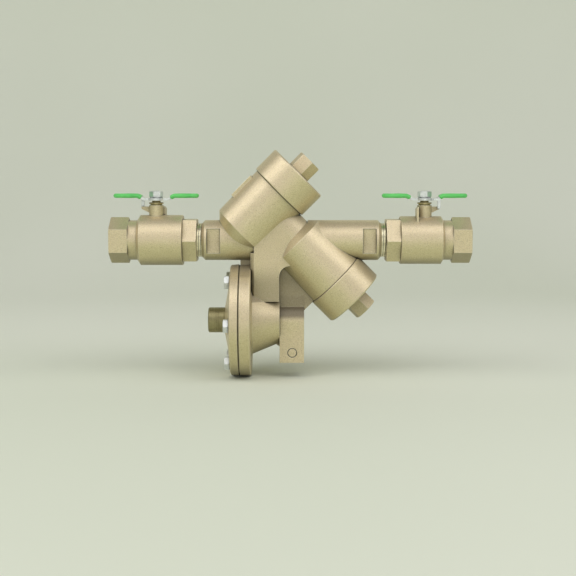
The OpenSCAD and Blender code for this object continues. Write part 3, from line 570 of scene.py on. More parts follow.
@dataclass(frozen=True)
class TurnedMetal(Finish):
    """A metal turned on a lathe, with fine rings round its axis, a painted highlight on its edges
    and painted shade in corners.
    """

    base: Colour = linear(150, 142, 96)
    light: Colour = linear(190, 180, 130)
    dark: Colour = linear(96, 88, 58)
    axis: Axis = Axis.X
    line: float = 0.32 * MM
    depth: float = 0.03 * MM
    rough: float = 0.3
    rounding: float = 0.25 * MM
    # How strong the painted shade in corners is.
    crevice_shade: float = 0.6

    def paint(self, sheet: Paint) -> None:
        """Mix the turned metal."""
        rings = sheet.rings(self.axis, self.line)
        stain = sheet.noise(6 * MM, 3.0, 0.6)
        specks = sheet.noise(0.9 * MM, 2.0, 0.6)
        edge = sheet.edges(self.rounding)
        shade = (1 - sheet.openness(4 * MM).between(0.3, 0.95)) * self.crevice_shade
        colour = sheet.blend(stain.between(0.35, 0.7) * 0.4, self.base, self.dark)
        colour = sheet.blend(rings.between(0.5, 0.75) * 0.35, colour, self.light)
        colour = sheet.blend(specks.between(0.55, 0.8) * 0.25, colour, self.dark)
        # Painted highlight on the edges, then painted shade in corners.
        colour = sheet.blend(edge * 0.6, colour, self.light)
        colour = sheet.blend(shade, colour, self.dark)
        normal = sheet.relief(rings, self.depth, sheet.soft_normal(self.rounding))
        sheet.set(Base_Color=colour, Normal=normal, Metallic=0.95 - shade * 0.2,
                  Roughness=stain * 0.14 + (self.rough - 0.07) + shade * 0.25)


@dataclass(frozen=True)
class PlatedMetal(Finish):
    """Plated steel or brass: even and bright, with faint clouds, tiny pits, edges painted lighter
    for wear and as a painted highlight, and painted shade in corners.
    """

    base: Colour = linear(232, 235, 234)
    cloud: Colour = linear(218, 222, 222)
    worn_and_highlight: Colour = linear(246, 247, 246)
    dark: Colour = linear(112, 116, 118)
    rough: float = 0.34
    ripple: float = 0.02 * MM
    rounding: float = 0.35 * MM

    def paint(self, sheet: Paint) -> None:
        """Mix the plating."""
        clouds = sheet.noise(3.2 * MM, 3.0, 0.6)
        fine = sheet.noise(0.45 * MM, 2.0, 0.5)
        edge = sheet.edges(self.rounding)
        shade = (1 - sheet.openness(4 * MM).between(0.3, 0.95)) * 0.7
        colour = sheet.blend(clouds.between(0.35, 0.7), self.base, self.cloud)
        colour = sheet.blend(fine.between(0.58, 0.8) * 0.3, colour, self.dark)
        # Edges lighter for wear and as a painted highlight, then painted shade in corners.
        colour = sheet.blend(edge * 0.6, colour, self.worn_and_highlight)
        colour = sheet.blend(shade, colour, self.dark)
        normal = sheet.relief(fine * 0.6 + clouds, self.ripple, sheet.soft_normal(self.rounding))
        sheet.set(Base_Color=colour, Normal=normal, Metallic=0.8 - shade * 0.2,
                  Roughness=clouds * 0.14 + (self.rough - 0.07) + shade * 0.2)


@dataclass(frozen=True)
class MouldedPlastic(Finish):
    """A moulded plastic or rubber with a fine skin and a little bloom."""

    base: Colour = linear(230, 230, 224)
    cloud: Colour = linear(214, 214, 206)
    rough: float = 0.5
    skin: float = 0.5 * MM
    depth: float = 0.02 * MM
    rounding: float = 0.3 * MM

    def paint(self, sheet: Paint) -> None:
        """Mix the plastic."""
        clouds = sheet.noise(5 * MM, 3.0, 0.55)
        skin = sheet.noise(self.skin, 2.0, 0.5)
        edge = sheet.edges(self.rounding)
        colour = sheet.blend(clouds.between(0.35, 0.7), self.base, self.cloud)
        colour = sheet.blend(edge * 0.4, colour, self.cloud)
        normal = sheet.relief(skin, self.depth, sheet.soft_normal(self.rounding))
        sheet.set(Base_Color=colour, Normal=normal, Metallic=0.0,
                  Roughness=clouds * 0.12 + (self.rough - 0.06))


@dataclass(frozen=True)
class DippedVinyl(Finish):
    """Green vinyl from a dip tank: semi-gloss, slightly wavy, scuffed along its rims."""

    base: Colour = linear(106, 216, 112)
    deep: Colour = linear(88, 200, 98)
    scuff: Colour = linear(168, 238, 166)

    def paint(self, sheet: Paint) -> None:
        """Mix the vinyl."""
        flow = sheet.noise(7 * MM, 2.0, 0.5, (0.5, 1.0, 1.0))
        peel = sheet.noise(1.1 * MM, 2.0, 0.5)
        rim = sheet.edges(0.8 * MM)
        marks = sheet.noise(0.6 * MM, 3.0, 0.6, (0.3, 1.0, 1.0)).between(0.56, 0.72)
        colour = sheet.blend(flow.between(0.35, 0.7), self.base, self.deep)
        colour = sheet.blend(rim * 0.3 + marks * 0.12, colour, self.scuff)
        normal = sheet.relief(flow * 0.6 + peel * 0.4, 0.06 * MM)
        sheet.set(Base_Color=colour, Normal=normal, Coat_Roughness=0.2,
                  Coat_Weight=0.25, Roughness=flow * 0.12 + 0.34 + marks * 0.16)


@dataclass(frozen=True)
class StudioPaper(Finish):
    """The plain paper sweep that the part is shown on."""

    tone: Colour = linear(238, 240, 230)
    shadow: Colour = linear(228, 232, 218)

    def paint(self, sheet: Paint) -> None:
        """Mix the paper."""
        wash = sheet.noise(0.9, 1.0, 0.4).between(0.3, 0.7)
        sheet.set(Base_Color=sheet.blend(wash, self.tone, self.shadow), Roughness=0.95,
                  Specular_IOR_Level=0.1)


BRONZE = CastBronze("sand cast bronze", "cast_bronze")
# Painted shade on the casting where shadow falls: behind the second chamber, under the web over the
# spout, at the foot of the duct and round the sensing lug. The cap joints hold dark dirt.
PAINTED_SHADE_PLACES = (
    ShadeAndJointDirt(0.34, (Layer(Axis.X.value, 174.3, 230, 0.5), Layer(Axis.Y.value, -11, 11, 1),
                   Layer(Axis.Z.value, -67, -24, 4))),
    ShadeAndJointDirt(0.66, (Layer(Axis.X.value, 174.5, 200, 0.4), Layer(Axis.Y.value, -40, -12, 3),
                   Layer(Axis.Z.value, -76, -60, 6))),
    ShadeAndJointDirt(0.36, (Layer(Axis.X.value, 146, 173.6, 0.4), Layer(Axis.Y.value, -30, -18, 1),
                   Layer(Axis.Z.value, -61.6, -10, 0.4), Layer(Axis.Z.value, -90, -46, 26))),
    ShadeAndJointDirt(0.24, (Layer(Axis.X.value, 130, 146, 1), Layer(Axis.Z.value, -34, -18, 3))),
)
CAP_JOINTS = (
    ShadeAndJointDirt(0.75, (Layer(RISING, 157.3, 157.7, 0.35), Layer(FALLING, 54.2, 121.4, 0.3))),
    ShadeAndJointDirt(0.75, (Layer(FALLING, 191.9, 192.3, 0.35), Layer(RISING, 102.3, 168.2, 0.3))),
)
BODY_BRONZE = CastBronze("sand cast bronze with a parting line", "cast_bronze", parting=True,
                         shade_and_joint_dirt=PAINTED_SHADE_PLACES + CAP_JOINTS)
CAP_BRONZE = CastBronze("sand cast bronze of the caps", "cast_bronze", shade_and_joint_dirt=CAP_JOINTS)
STUB_BRASS = TurnedMetal("threaded stub brass", "machined_brass",
                         base=linear(164, 156, 118), light=linear(206, 196, 154), rough=0.42)
STEM_BRASS = TurnedMetal("turned stem brass", "machined_brass", axis=Axis.Z,
                         base=linear(196, 182, 136), light=linear(222, 210, 168))
COCK_BRASS = TurnedMetal("turned test cock brass", "machined_brass", axis=Axis.Y,
                         base=linear(204, 188, 136), light=linear(230, 216, 172))
# Paler than the casting: cut bronze, brightened as a painted highlight, with little painted shade
# in its grooves.
TAIL_BRASS = TurnedMetal("cut thread bronze", "cast_bronze", axis=Axis.X,
                         base=linear(240, 232, 200), light=linear(254, 252, 236),
                         dark=linear(146, 136, 100), line=0.2 * MM, crevice_shade=0.12)
INNER_BRASS = TurnedMetal("machined seat brass", "machined_brass",
                          base=linear(204, 188, 136), light=linear(230, 216, 172))
STAINLESS = TurnedMetal("plain stainless steel", "stainless", base=linear(196, 196, 194),
                        light=linear(222, 222, 220), dark=linear(118, 118, 118), rough=0.28)
ZINC = PlatedMetal("bright zinc plate", "zinc_steel")
CHROME = PlatedMetal("chrome plate", "chromed_brass", base=linear(212, 213, 212),
                     cloud=linear(198, 200, 200), rough=0.12, ripple=0.006 * MM)
PTFE = MouldedPlastic("waxy white seat plastic", "ptfe", rough=0.42)
ACETAL = MouldedPlastic("dark moulded poppet plastic", "acetal", base=linear(58, 58, 60),
                        cloud=linear(72, 72, 74), rough=0.45)
NITRILE = MouldedPlastic("black moulded rubber", "nitrile", base=linear(34, 34, 34),
                         cloud=linear(50, 50, 49), rough=0.6)
FACED_RUBBER = MouldedPlastic("cloth faced rubber", "nitrile", base=linear(92, 84, 64),
                              cloud=linear(74, 68, 54), rough=0.7)
VINYL = DippedVinyl("green dipped vinyl", "vinyl")
PAPER = StudioPaper("studio paper", "")

BY_SLOT: dict[str, Finish] = {
    "cast_bronze": BRONZE, "machined_brass": INNER_BRASS, "zinc_steel": ZINC,
    "stainless": STAINLESS, "chromed_brass": CHROME, "ptfe": PTFE, "acetal": ACETAL,
    "nitrile": NITRILE, "vinyl": VINYL,
}
BY_NODE: dict[str, Finish] = {
    "main_body": BODY_BRONZE, "relief_port_fitting": STUB_BRASS,
    "check1_cap": CAP_BRONZE, "check2_cap": CAP_BRONZE,
    "inlet_stem": STEM_BRASS, "outlet_stem": STEM_BRASS,
    "inlet_gland": STEM_BRASS, "outlet_gland": STEM_BRASS,
    "test_cock_bodies": COCK_BRASS, "relief_diaphragm": FACED_RUBBER,
}


# ---- shared making


def put(name: str, data: bpy.types.ID) -> bpy.types.Object:
    """Add an object to the scene.

    Args:
        name: Its name.
        data: Its mesh, lamp or camera.

    Returns:
        The object.
    """
    made = bpy.data.objects.new(name, data)
    bpy.context.scene.collection.objects.link(made)
    return made


def stand(thing: bpy.types.Object, place: Vector, target: Vector) -> None:
    """Stand a lamp or the camera at a place and turn it to face a target."""
    thing.location = place
    thing.rotation_euler = (target - place).to_track_quat("-Z", "Y").to_euler()


def finished_mesh(name: str, mesh: bpy.types.Mesh, finish: Finish, body: str,
                  crease: float = 32.0) -> bpy.types.Object:
    """Turn a mesh into a piece that rides on a body.

    Args:
        name: The piece's name.
        mesh: Its mesh, in the part's own frame.
        finish: What it is finished with.
        body: The body that it moves with, or nothing to leave it on no body.
        crease: The angle in degrees above which an edge stays sharp.

    Returns:
        The piece.
    """
    mesh.name = name
    mesh.materials.clear()
    mesh.materials.append(finish.material())
    mesh.polygons.foreach_set("use_smooth", [True] * len(mesh.polygons))
    mesh.set_sharp_from_angle(angle=math.radians(crease))
    piece = put(name, mesh)
    if body:
        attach(piece, body)
    LOG.info("%s: %d faces, on %s", name, len(mesh.polygons), body or "two bodies")
    return piece


class NodeRecipe:
    """A geometry node tree that is built, fed, and baked to a plain mesh."""

    def __init__(self, name: str) -> None:
        """Start an empty tree.

        Args:
            name: The tree's name.
        """
        self.tree = bpy.data.node_groups.new(name, "GeometryNodeTree")
        self.tree.is_modifier = True
        self.inputs: dict[str, bpy.types.NodeTreeInterfaceSocket] = {}
        self.entry = self.node("NodeGroupInput")
        self.exit = self.node("NodeGroupOutput")
        self.tree.interface.new_socket("Geometry", in_out="OUTPUT",
                                       socket_type="NodeSocketGeometry")

    def input(self, name: str, kind: str = "Float") -> None:
        """Add a named input.

        Args:
            name: Its name.
            kind: The socket's kind, such as Float, Int, Vector or Material.
        """
        self.inputs[name] = self.tree.interface.new_socket(
            name, in_out="INPUT", socket_type="NodeSocket" + kind)

    def node(self, kind: str, settings: "dict[str, object] | None" = None,
             **inputs: object) -> bpy.types.Node:
        """Add a node to the geometry's tree, as add_node does."""
        return add_node(self.tree, kind, settings, **inputs)

    def maths(self, operation: str, first: object, second: object) -> bpy.types.NodeSocket:
        """Add one Math node.

        Args:
            operation: The operation, such as DIVIDE.
            first: The first input, a socket or a number.
            second: The second input.

        Returns:
            The result's socket.
        """
        return self.node("ShaderNodeMath", {"operation": operation},
                         i0=first, i1=second).outputs[0]

    def close(self, geometry: bpy.types.NodeSocket) -> None:
        """End the tree in Realize Instances and Set Material.

        Args:
            geometry: The geometry to hand out.
        """
        real = self.node("GeometryNodeRealizeInstances", Geometry=geometry)
        dressed = self.node("GeometryNodeSetMaterial", Geometry=real.outputs[0],
                            Material=self.entry.outputs["Material"])
        self.tree.links.new(dressed.outputs[0], self.exit.inputs[0])

    def bake(self, values: dict[str, object]) -> bpy.types.Mesh:
        """Run the tree once and keep its result.

        Args:
            values: Each named input's value.

        Returns:
            A plain mesh.
        """
        seed = put("seed", bpy.data.meshes.new("seed"))
        modifier = seed.modifiers.new("recipe", "NODES")
        modifier.node_group = self.tree
        for name, value in values.items():
            modifier[self.inputs[name].identifier] = value
        graph = bpy.context.evaluated_depsgraph_get()
        mesh = bpy.data.meshes.new_from_object(seed.evaluated_get(graph))
        seed.modifiers.clear()
        bpy.data.objects.remove(seed)
        return mesh


class ThreadRecipe(NodeRecipe):
    """A screw thread's ridge: a trapezium swept along a helix, run out at both ends."""

    RUN_OUT = 1.1
    THINNEST = 0.03

    def __init__(self) -> None:
        """Build the tree."""
        super().__init__("screw thread")
        for name in ("Radius", "Pitch", "Length", "Height", "Foot", "Crest", "Profile Turn"):
            self.input(name)
        self.input("Points Per Turn", "Int")
        self.input("Place", "Vector")
        self.input("Turn", "Vector")
        self.input("Material", "Material")
        given = self.entry.outputs
        helix = self.node("GeometryNodeCurveSpiral",
                          Resolution=given["Points Per Turn"],
                          Rotations=self.maths("DIVIDE", given["Length"], given["Pitch"]),
                          Start_Radius=given["Radius"], End_Radius=given["Radius"],
                          Height=given["Length"])
        upright = self.node("GeometryNodeSetCurveNormal", {"mode": "Z_UP"},
                            Curve=helix.outputs[0])
        outline = self.node("GeometryNodeCurvePrimitiveQuadrilateral", {"mode": "TRAPEZOID"},
                            Height=given["Height"], Bottom_Width=given["Foot"],
                            Top_Width=given["Crest"], Offset=0.0)
        turn = self.node("ShaderNodeCombineXYZ", Z=given["Profile Turn"])
        outline = self.node("GeometryNodeTransform", Geometry=outline.outputs[0],
                            Rotation=turn.outputs[0])
        way = self.node("GeometryNodeSplineParameter").outputs["Length"]
        left = self.maths("SUBTRACT", self.node(
            "GeometryNodeSplineLength").outputs["Length"], way)
        nearest = self.maths("MINIMUM", way, left)
        run_out = self.maths("MULTIPLY", given["Radius"], self.RUN_OUT)
        share = self.maths("DIVIDE", nearest, run_out)
        scale = self.maths("MAXIMUM", self.maths("MINIMUM", share, 1.0), self.THINNEST)
        ridge = self.node("GeometryNodeCurveToMesh", Curve=upright.outputs[0],
                          Profile_Curve=outline.outputs[0], Scale=scale, Fill_Caps=True)
        placed = self.node("GeometryNodeTransform", Geometry=ridge.outputs[0],
                           Translation=given["Place"], Rotation=given["Turn"])
        self.close(placed.outputs[0])


@dataclass
class Thread:
    """One screw thread on the part."""

    name: str
    start: Vector
    direction: Vector
    radius: float
    length: float
    pitch: float
    height: float
    side: Side
    finish: Finish
    body: str = "housing"
    points: int = 56
    sunk: float = 0.35
    foot: float = 0.86
    crest: float = 0.16
    crease: float = 24.0

    def make(self, recipe: ThreadRecipe) -> bpy.types.Object:
        """Bake the thread and put it on its body.

        Args:
            recipe: The shared thread tree.

        Returns:
            The thread's piece.
        """
        turn = self.direction.to_track_quat("Z", "Y").to_euler()
        sunk = self.height * self.sunk
        middle = self.radius - self.side.value * (self.height / 2 - sunk)
        mesh = recipe.bake({
            "Radius": middle, "Pitch": self.pitch, "Length": self.length,
            "Height": self.height, "Foot": self.pitch * self.foot, "Crest": self.pitch * self.crest,
            "Profile Turn": self.side.value * math.pi / 2, "Points Per Turn": self.points,
            "Place": self.start, "Turn": Vector(turn), "Material": self.finish.material(),
        })
        return finished_mesh(self.name, mesh, self.finish, self.body, self.crease)


# ---- sub-assemblies


@dataclass
class Port:
    """A round mount: its place, radius and length."""

    place: Vector
    radius: float
    length: float


@dataclass
class SubAssembly:
    """A named group of pieces, built and dressed together."""

    record: dict
    threads: ThreadRecipe

    def port(self, name: str) -> Port:
        """One round mount of the part's record."""
        mount = next(m for m in self.record["mounts"] if m["name"] == name)
        return Port(Vector(mount["pos_m"]), mount["dims"]["r_mm"] * MM,
                    mount["dims"]["length_mm"] * MM)

    def build(self) -> list[bpy.types.Object]:
        """Make the group's own pieces; each group says how.

        Returns:
            The pieces.
        """
        raise NotImplementedError


# The rolled mouth of a dipped sleeve. Each row has its place in millimetres, the share of the
# flat's width, its edge's direction along and across the wing, and the share of the thickness.
SLEEVE_MOUTH = (
    (0.0, 0.97, -0.35, 0.94, 0.72),
    (0.25, 1.0, -0.12, 0.99, 0.9),
    (0.8, 1.0, 0.0, 1.0, 0.985),
    (1.5, 1.0, 0.0, 1.0, 0.96),
)


@dataclass
class BallValve(SubAssembly):
    """A ball valve at one end: its port and tail threads and its two dipped grips."""

    end: End = End.INLET
    tail_radius: float = 16.7 * MM
    tail_gap: float = 4.8 * MM
    tail_height: float = 1.0 * MM
    port_lead: float = 1.2 * MM
    port_rest: float = 3.0 * MM
    port_height: float = 1.3 * MM
    pipe_pitch: float = 2.21 * MM
    wing_height: float = 45.75 * MM
    reach: float = 44.1 * MM
    sleeve_start: float = 15.6 * MM
    bend: float = 18.6 * MM
    bend_radius: float = 3.2 * MM
    slope: float = math.radians(30.0)
    half_width: float = 7.45 * MM
    half_thick: float = 2.3 * MM
    rounds: int = 10
    steps: int = 16
    end_steps: int = 14
    straight_from: float = 2.4 * MM
    waist: float = 0.94
    swell: float = 0.06
    ridge: float = 0.05 * MM
    joined: float = 0.01 * MM
    crease: float = 50.0

    def build(self) -> list[bpy.types.Object]:
        """Make the threads and grips of this end."""
        return [self.port_thread(), self.tail_thread(), self.grips()]

    @property
    def flow(self) -> float:
        """1 where the valve's outer end faces -X, and -1 where it faces +X."""
        return 1.0 if self.end is End.INLET else -1.0

    def port_thread(self) -> bpy.types.Object:
        """The thread inside the end port."""
        port = self.port(self.end.value)
        start = port.place + Vector((self.flow * self.port_lead, 0, 0))
        return Thread(f"{self.end.value}_port_thread", start, Vector((self.flow, 0, 0)),
                      port.radius, port.length - self.port_rest, self.pipe_pitch,
                      self.port_height, Side.INSIDE, TAIL_BRASS).make(self.threads)

    def tail_thread(self) -> bpy.types.Object:
        """The turns of the retainer's thread that show beside the casting."""
        low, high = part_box("main_body")
        face = low.x if self.end is End.INLET else high.x
        start = Vector((face - self.flow * self.tail_gap, 0, 0))
        return Thread(f"{self.end.value}_tail_thread", start, Vector((self.flow, 0, 0)),
                      self.tail_radius, self.tail_gap + self.tail_height, self.pipe_pitch,
                      self.tail_height, Side.OUTSIDE, TAIL_BRASS, points=72).make(self.threads)

    def _stations(self) -> list[tuple[float, float, float, float, float]]:
        """The sleeve's stations along the wing.

        Returns:
            For each: its place, the half width of its flat, its edge's direction along
            and across the wing, and its half thickness.
        """
        thick = self.half_thick
        flat = self.half_width - thick
        tangent = self.bend_radius * math.tan(self.slope / 2)
        down = (self.bend - self.sleeve_start) / math.cos(self.slope)
        first = self.bend + 2 * tangent - self.bend_radius * self.slope - down
        turn_x = self.reach - self.half_width
        rows = [(first + offset * MM, flat * wide, ahead, aside, thick * high)
                for offset, wide, ahead, aside, high in SLEEVE_MOUTH]
        straight = turn_x - first - self.straight_from
        for k in range(self.steps + 1):
            x = first + self.straight_from + straight * k / self.steps
            bulge = self.waist + self.swell * math.sin(math.pi * k / self.steps) ** 2
            rows.append((x, flat, 0.0, 1.0, thick * bulge))
        for k in range(1, self.end_steps + 1):
            angle = math.pi / 2 * k / self.end_steps
            bead = self.waist + self.swell * math.sin(angle)
            rows.append((turn_x + flat * math.sin(angle), flat * math.cos(angle),
                         math.sin(angle), math.cos(angle), thick * bead))
        return rows

    def _on_wing(self, x: float, y: float, z: float) -> Vector:
        """Bend a straight sleeve's point down the ramp beside the stem.

        Args:
            x: Along the straight sleeve, from the stem.
            y: Across it.
            z: Up from its middle.

        Returns:
            The point, from the stem's axis and the wing's height.
        """
        arc = self.bend_radius
        bend = self.bend + arc * math.tan(self.slope / 2)
        along = bend - x
        if along <= 0:
            return Vector((x, y, z))
        full = arc * self.slope
        angle = min(along, full) / arc
        rest = max(along - full, 0.0)
        middle = Vector((bend - arc * math.sin(angle), y, -arc * (1 - math.cos(angle))))
        middle += Vector((-math.cos(angle), 0, -math.sin(angle))) * rest
        return middle + Vector((-math.sin(angle), 0, math.cos(angle))) * z

    def _sleeve(self, mesh: bmesh.types.BMesh, mirror: float) -> None:
        """Add one sleeve.

        Args:
            mesh: The mesh that it is added to.
            mirror: 1 for the wing towards +X and -1 for the other one.
        """
        low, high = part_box(f"{self.end.value}_handle_nut")
        centre = Vector(((low.x + high.x) / 2, (low.y + high.y) / 2, self.wing_height))
        turned = Vector((mirror, mirror, 1.0))
        loops: list[list[bmesh.types.BMVert]] = []
        for x, flat, ahead, aside, thick in self._stations():
            loop = []
            for side in (1.0, -1.0):
                for k in range(self.rounds + 1):
                    angle = math.pi / 2 - math.pi * k / self.rounds
                    out = thick * math.cos(angle)
                    point = self._on_wing(x + ahead * out, side * (flat + aside * out),
                                          side * thick * math.sin(angle))
                    loop.append(mesh.verts.new(centre + point * turned))
                middle = self._on_wing(x, 0.0, -side * (thick + self.ridge))
                loop.append(mesh.verts.new(centre + middle * turned))
            loops.append(loop)
        for near, far in zip(loops, loops[1:]):
            for k, vertex in enumerate(near):
                after = (k + 1) % len(near)
                mesh.faces.new((vertex, near[after], far[after], far[k]))
        mesh.faces.new(loops[0])

    def grips(self) -> bpy.types.Object:
        """Both dipped sleeves of this end's handle."""
        form = bmesh.new()
        for mirror in (1.0, -1.0):
            self._sleeve(form, mirror)
        bmesh.ops.remove_doubles(form, verts=form.verts, dist=self.joined)
        bmesh.ops.recalc_face_normals(form, faces=form.faces)
        mesh = bpy.data.meshes.new("grips")
        form.to_mesh(mesh)
        form.free()
        piece = finished_mesh(f"{self.end.value}_dipped_grips", mesh, VINYL,
                              f"{self.end.value}_turn", self.crease)
        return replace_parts(piece, f"{self.end.value}_grips")


@dataclass
class ReliefValve(SubAssembly):
    """The relief valve's port stub, threaded outside and inside."""

    collar: float = 2.6 * MM
    lead: float = 0.9 * MM
    outer_pitch: float = 1.81 * MM
    outer_height: float = 0.95 * MM
    outer_inset: float = 0.55 * MM
    inner_pitch: float = 0.94 * MM
    inner_height: float = 0.6 * MM
    inner_lead: float = 0.5 * MM
    inner_rest: float = 1.2 * MM

    def build(self) -> list[bpy.types.Object]:
        """Make the stub's two threads."""
        inside = self.port("sensing_port_inside")
        low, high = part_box("relief_port_fitting")
        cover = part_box("relief_cover")[0].x
        height = (low.z + high.z) / 2
        start = Vector((low.x + self.lead, 0, height))
        outer = Thread("stub_outer_thread", start, Vector((1, 0, 0)),
                       (high.z - low.z) / 2 - self.outer_inset, cover - self.collar - start.x,
                       self.outer_pitch, self.outer_height, Side.OUTSIDE, STUB_BRASS, points=64)
        mouth = inside.place + Vector((self.inner_lead, 0, 0))
        inner = Thread("stub_inner_thread", mouth, Vector((1, 0, 0)), inside.radius,
                       inside.length - self.inner_rest, self.inner_pitch, self.inner_height,
                       Side.INSIDE, STUB_BRASS, points=40)
        return [outer.make(self.threads), inner.make(self.threads)]


@dataclass
class TestCocks(SubAssembly):
    """The threads in the mouths of the four test cocks."""

    count: int = 4
    pitch: float = 1.41 * MM
    height: float = 0.8 * MM
    lead: float = 0.6 * MM
    rest: float = 1.6 * MM

    def build(self) -> list[bpy.types.Object]:
        """Make the four port threads."""
        made = []
        for number in range(1, self.count + 1):
            port = self.port(f"test_port_{number}")
            start = port.place - Vector((0, self.lead, 0))
            made.append(Thread(f"test_port_{number}_thread", start, Vector((0, -1, 0)),
                               port.radius, port.length - self.rest, self.pitch, self.height,
                               Side.INSIDE, COCK_BRASS, points=36).make(self.threads))
        return made


@dataclass(frozen=True)
class FlexibleSolid:
    """A solid that changes shape in use, so that a copy of its mesh stands for it."""

    node: str
    body: str = "housing"

    def copied(self, solid: bpy.types.Object, finish: Finish, body: str) -> bpy.types.Object:
        """Copy the solid's mesh into a piece that takes its place.

        Args:
            solid: The solid.
            finish: What the piece is finished with.
            body: The body that it moves with, or nothing to leave it on no body.

        Returns:
            The piece.
        """
        mesh = solid.data.copy()
        mesh.transform(solid.matrix_world)
        piece = finished_mesh(f"{self.node}_flexible", mesh, finish, body)
        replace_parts(piece, self.node)
        return piece

    def make(self, solid: bpy.types.Object, finish: Finish) -> bpy.types.Object:
        """Make the piece; each kind of solid says how.

        Args:
            solid: The solid that it stands for.
            finish: What it is finished with.

        Returns:
            The piece.
        """
        raise NotImplementedError


@dataclass(frozen=True)
class Spring(FlexibleSolid):
    """A coil spring, copied as it is onto its body."""

    joint: str = ""
    axis: tuple[float, float, float] = Axis.X.value
    travel: float = 0.0

    def make(self, solid: bpy.types.Object, finish: Finish) -> bpy.types.Object:
        """Make the spring."""
        piece = self.copied(solid, finish, self.body)
        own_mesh(piece)
        return piece


@dataclass(frozen=True)
class Diaphragm(FlexibleSolid):
    """A dished disc whose rim is clamped, copied with its place baked in and left on no body."""

    stem: str = ""
    thickness: float = 1.0 * MM
    play: float = 0.05 * MM

    def make(self, solid: bpy.types.Object, finish: Finish) -> bpy.types.Object:
        """Make the diaphragm."""
        piece = self.copied(solid, finish, "")
        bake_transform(piece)
        return piece


FLEXIBLE: tuple[FlexibleSolid, ...] = (
    Spring("check1_spring", joint="check1_lift", axis=RISING, travel=8.5 * MM),
    Spring("check2_spring", joint="check2_lift", axis=FALLING, travel=8.5 * MM),
    Spring("relief_spring", joint="relief_close", axis=Axis.X.value, travel=6.5 * MM),
    Diaphragm("relief_diaphragm", stem="relief_plug"),
)


@dataclass
class SolidParts:
    """The parts whose solids are shown as they are, each with its own finish."""

    nodes: dict[str, bpy.types.Object]
    record: dict

    def dress(self) -> None:
        """Give every solid its finish."""
        slots = {part["node"]: part["material_slot"] for part in self.record["subparts"]}
        for name, solid in self.nodes.items():
            finish = BY_NODE.get(name, BY_SLOT[slots[name]])
            if not solid.material_slots:
                solid.data.materials.append(finish.material())
            for slot in solid.material_slots:
                slot.material = finish.material()
            LOG.info("%s: %s", name, finish.name)


# ---- studio


@dataclass
class Lamp:
    """One soft lamp."""

    name: str
    place: tuple[float, float, float]
    width: float
    height: float
    power: float
    colour: Colour = (1.0, 1.0, 1.0)
    aim: "tuple[float, float, float] | None" = None

    def make(self, part: Vector) -> bpy.types.Object:
        """Hang the lamp.

        Args:
            part: The middle of the part, which it faces unless it has an aim of its own.

        Returns:
            The lamp.
        """
        data = bpy.data.lights.new(self.name, "AREA")
        data.shape = "RECTANGLE"
        data.size = self.width
        data.size_y = self.height
        data.energy = self.power
        data.color = self.colour
        lamp = put(self.name, data)
        stand(lamp, Vector(self.place), part if self.aim is None else Vector(self.aim))
        return lamp


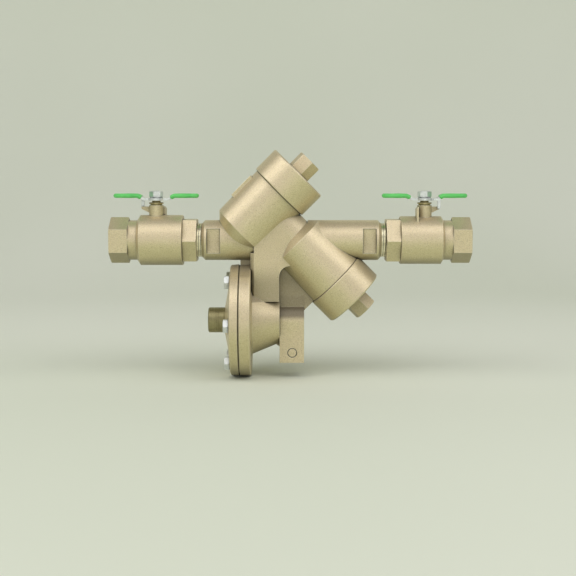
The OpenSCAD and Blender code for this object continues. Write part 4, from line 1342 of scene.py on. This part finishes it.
@dataclass
class Studio:
    """A paper sweep, soft lamps, an even sky and the camera."""

    gap: float = 0.4 * MM
    bend_steps: int = 24
    wide: float = 40.0
    front: float = -40.0
    back: float = 1.5
    bend: float = 0.8
    top: float = 4.0
    sky: float = 0.24
    sky_colour: Colour = (0.97, 1.0, 0.96)
    camera_place: tuple[float, float, float] = (0.1845, -1.2, 0.078)
    camera_aim: tuple[float, float, float] = (0.1829, 0.0, -0.0499)
    lens: float = 72.6
    sensor: float = 36.0
    lamps: list[Lamp] = field(default_factory=lambda: [
        Lamp("key softbox", (0.18, -1.1, 1.5), 2.4, 1.5, 10.5, (1.0, 0.985, 0.955)),
        Lamp("left softbox", (-1.35, -0.75, 1.4), 1.7, 1.7, 13.5, (1.0, 1.0, 0.96)),
        Lamp("right softbox", (1.75, -0.75, 1.4), 1.7, 1.7, 13.0, (1.0, 1.0, 0.96)),
        Lamp("front fill", (0.2, -2.8, 0.3), 3.0, 1.6, 11.0, (1.0, 1.0, 0.95)),
        # It faces away from the part, and lights the floor beyond the fill's plane.
        Lamp("far floor", (0.2, -2.81, 6.9), 24.0, 14.0, 1400.0, (1.0, 1.0, 0.95),
             (0.2, -9.0, 6.9)),
    ])

    def sweep(self, floor: float) -> bpy.types.Object:
        """Make the floor that curves up into the backdrop.

        Args:
            floor: The height of the floor.

        Returns:
            The sweep.
        """
        outline = [(self.front, floor)]
        for k in range(self.bend_steps + 1):
            angle = math.pi / 2 * k / self.bend_steps
            outline.append((self.back - self.bend + self.bend * math.sin(angle),
                            floor + self.bend * (1 - math.cos(angle))))
        outline.append((self.back, self.top))
        form = bmesh.new()
        sides = (-self.wide / 2, self.wide / 2)
        rows = [[form.verts.new((x, y, z)) for y, z in outline] for x in sides]
        for k in range(len(outline) - 1):
            form.faces.new((rows[0][k], rows[1][k], rows[1][k + 1], rows[0][k + 1]))
        mesh = bpy.data.meshes.new("paper_sweep")
        form.to_mesh(mesh)
        form.free()
        mesh.polygons.foreach_set("use_smooth", [True] * len(mesh.polygons))
        mesh.materials.append(PAPER.material())
        sweep = put("paper_sweep", mesh)
        sweep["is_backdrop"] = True
        return sweep

    def sky_light(self) -> None:
        """Light the scene evenly from all round."""
        world = bpy.data.worlds.new("even sky")
        world.use_nodes = True
        background = world.node_tree.nodes["Background"]
        background.inputs["Color"].default_value = rgba(self.sky_colour)
        background.inputs["Strength"].default_value = self.sky
        bpy.context.scene.world = world

    def camera(self) -> bpy.types.Object:
        """Set up the camera.

        Returns:
            The camera.
        """
        data = bpy.data.cameras.new("front camera")
        data.lens = self.lens
        data.sensor_width = self.sensor
        camera = put("front camera", data)
        stand(camera, Vector(self.camera_place), Vector(self.camera_aim))
        bpy.context.scene.camera = camera
        return camera

    def build(self, low: Vector, high: Vector) -> None:
        """Set the whole studio up round the part.

        Args:
            low: The part's lowest corner.
            high: The part's highest corner.
        """
        self.sweep(low.z - self.gap)
        self.sky_light()
        for lamp in self.lamps:
            lamp.make((low + high) / 2)
        self.camera()
        bpy.context.scene.view_settings.view_transform = "Standard"
        LOG.info("studio: floor at %.1f mm", (low.z - self.gap) / MM)


# ---- making it all


def main() -> None:
    """Load the frame, dress every part, and set the studio up."""
    logging.basicConfig(level=logging.INFO, format="%(name)s: %(message)s")
    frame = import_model()
    solid_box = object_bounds()
    record = frame["record"]
    SolidParts(frame["nodes"], record).dress()
    for part in FLEXIBLE:
        part.make(frame["nodes"][part.node], BY_NODE.get(part.node, STAINLESS))
    threads = ThreadRecipe()
    groups: list[SubAssembly] = [
        BallValve(record, threads, End.INLET),
        BallValve(record, threads, End.OUTLET),
        ReliefValve(record, threads),
        TestCocks(record, threads),
    ]
    for group in groups:
        pieces = group.build()
        LOG.info("%s: %d pieces", type(group).__name__, len(pieces))
    Studio().build(*solid_box)


if __name__ == "__main__":
    main()
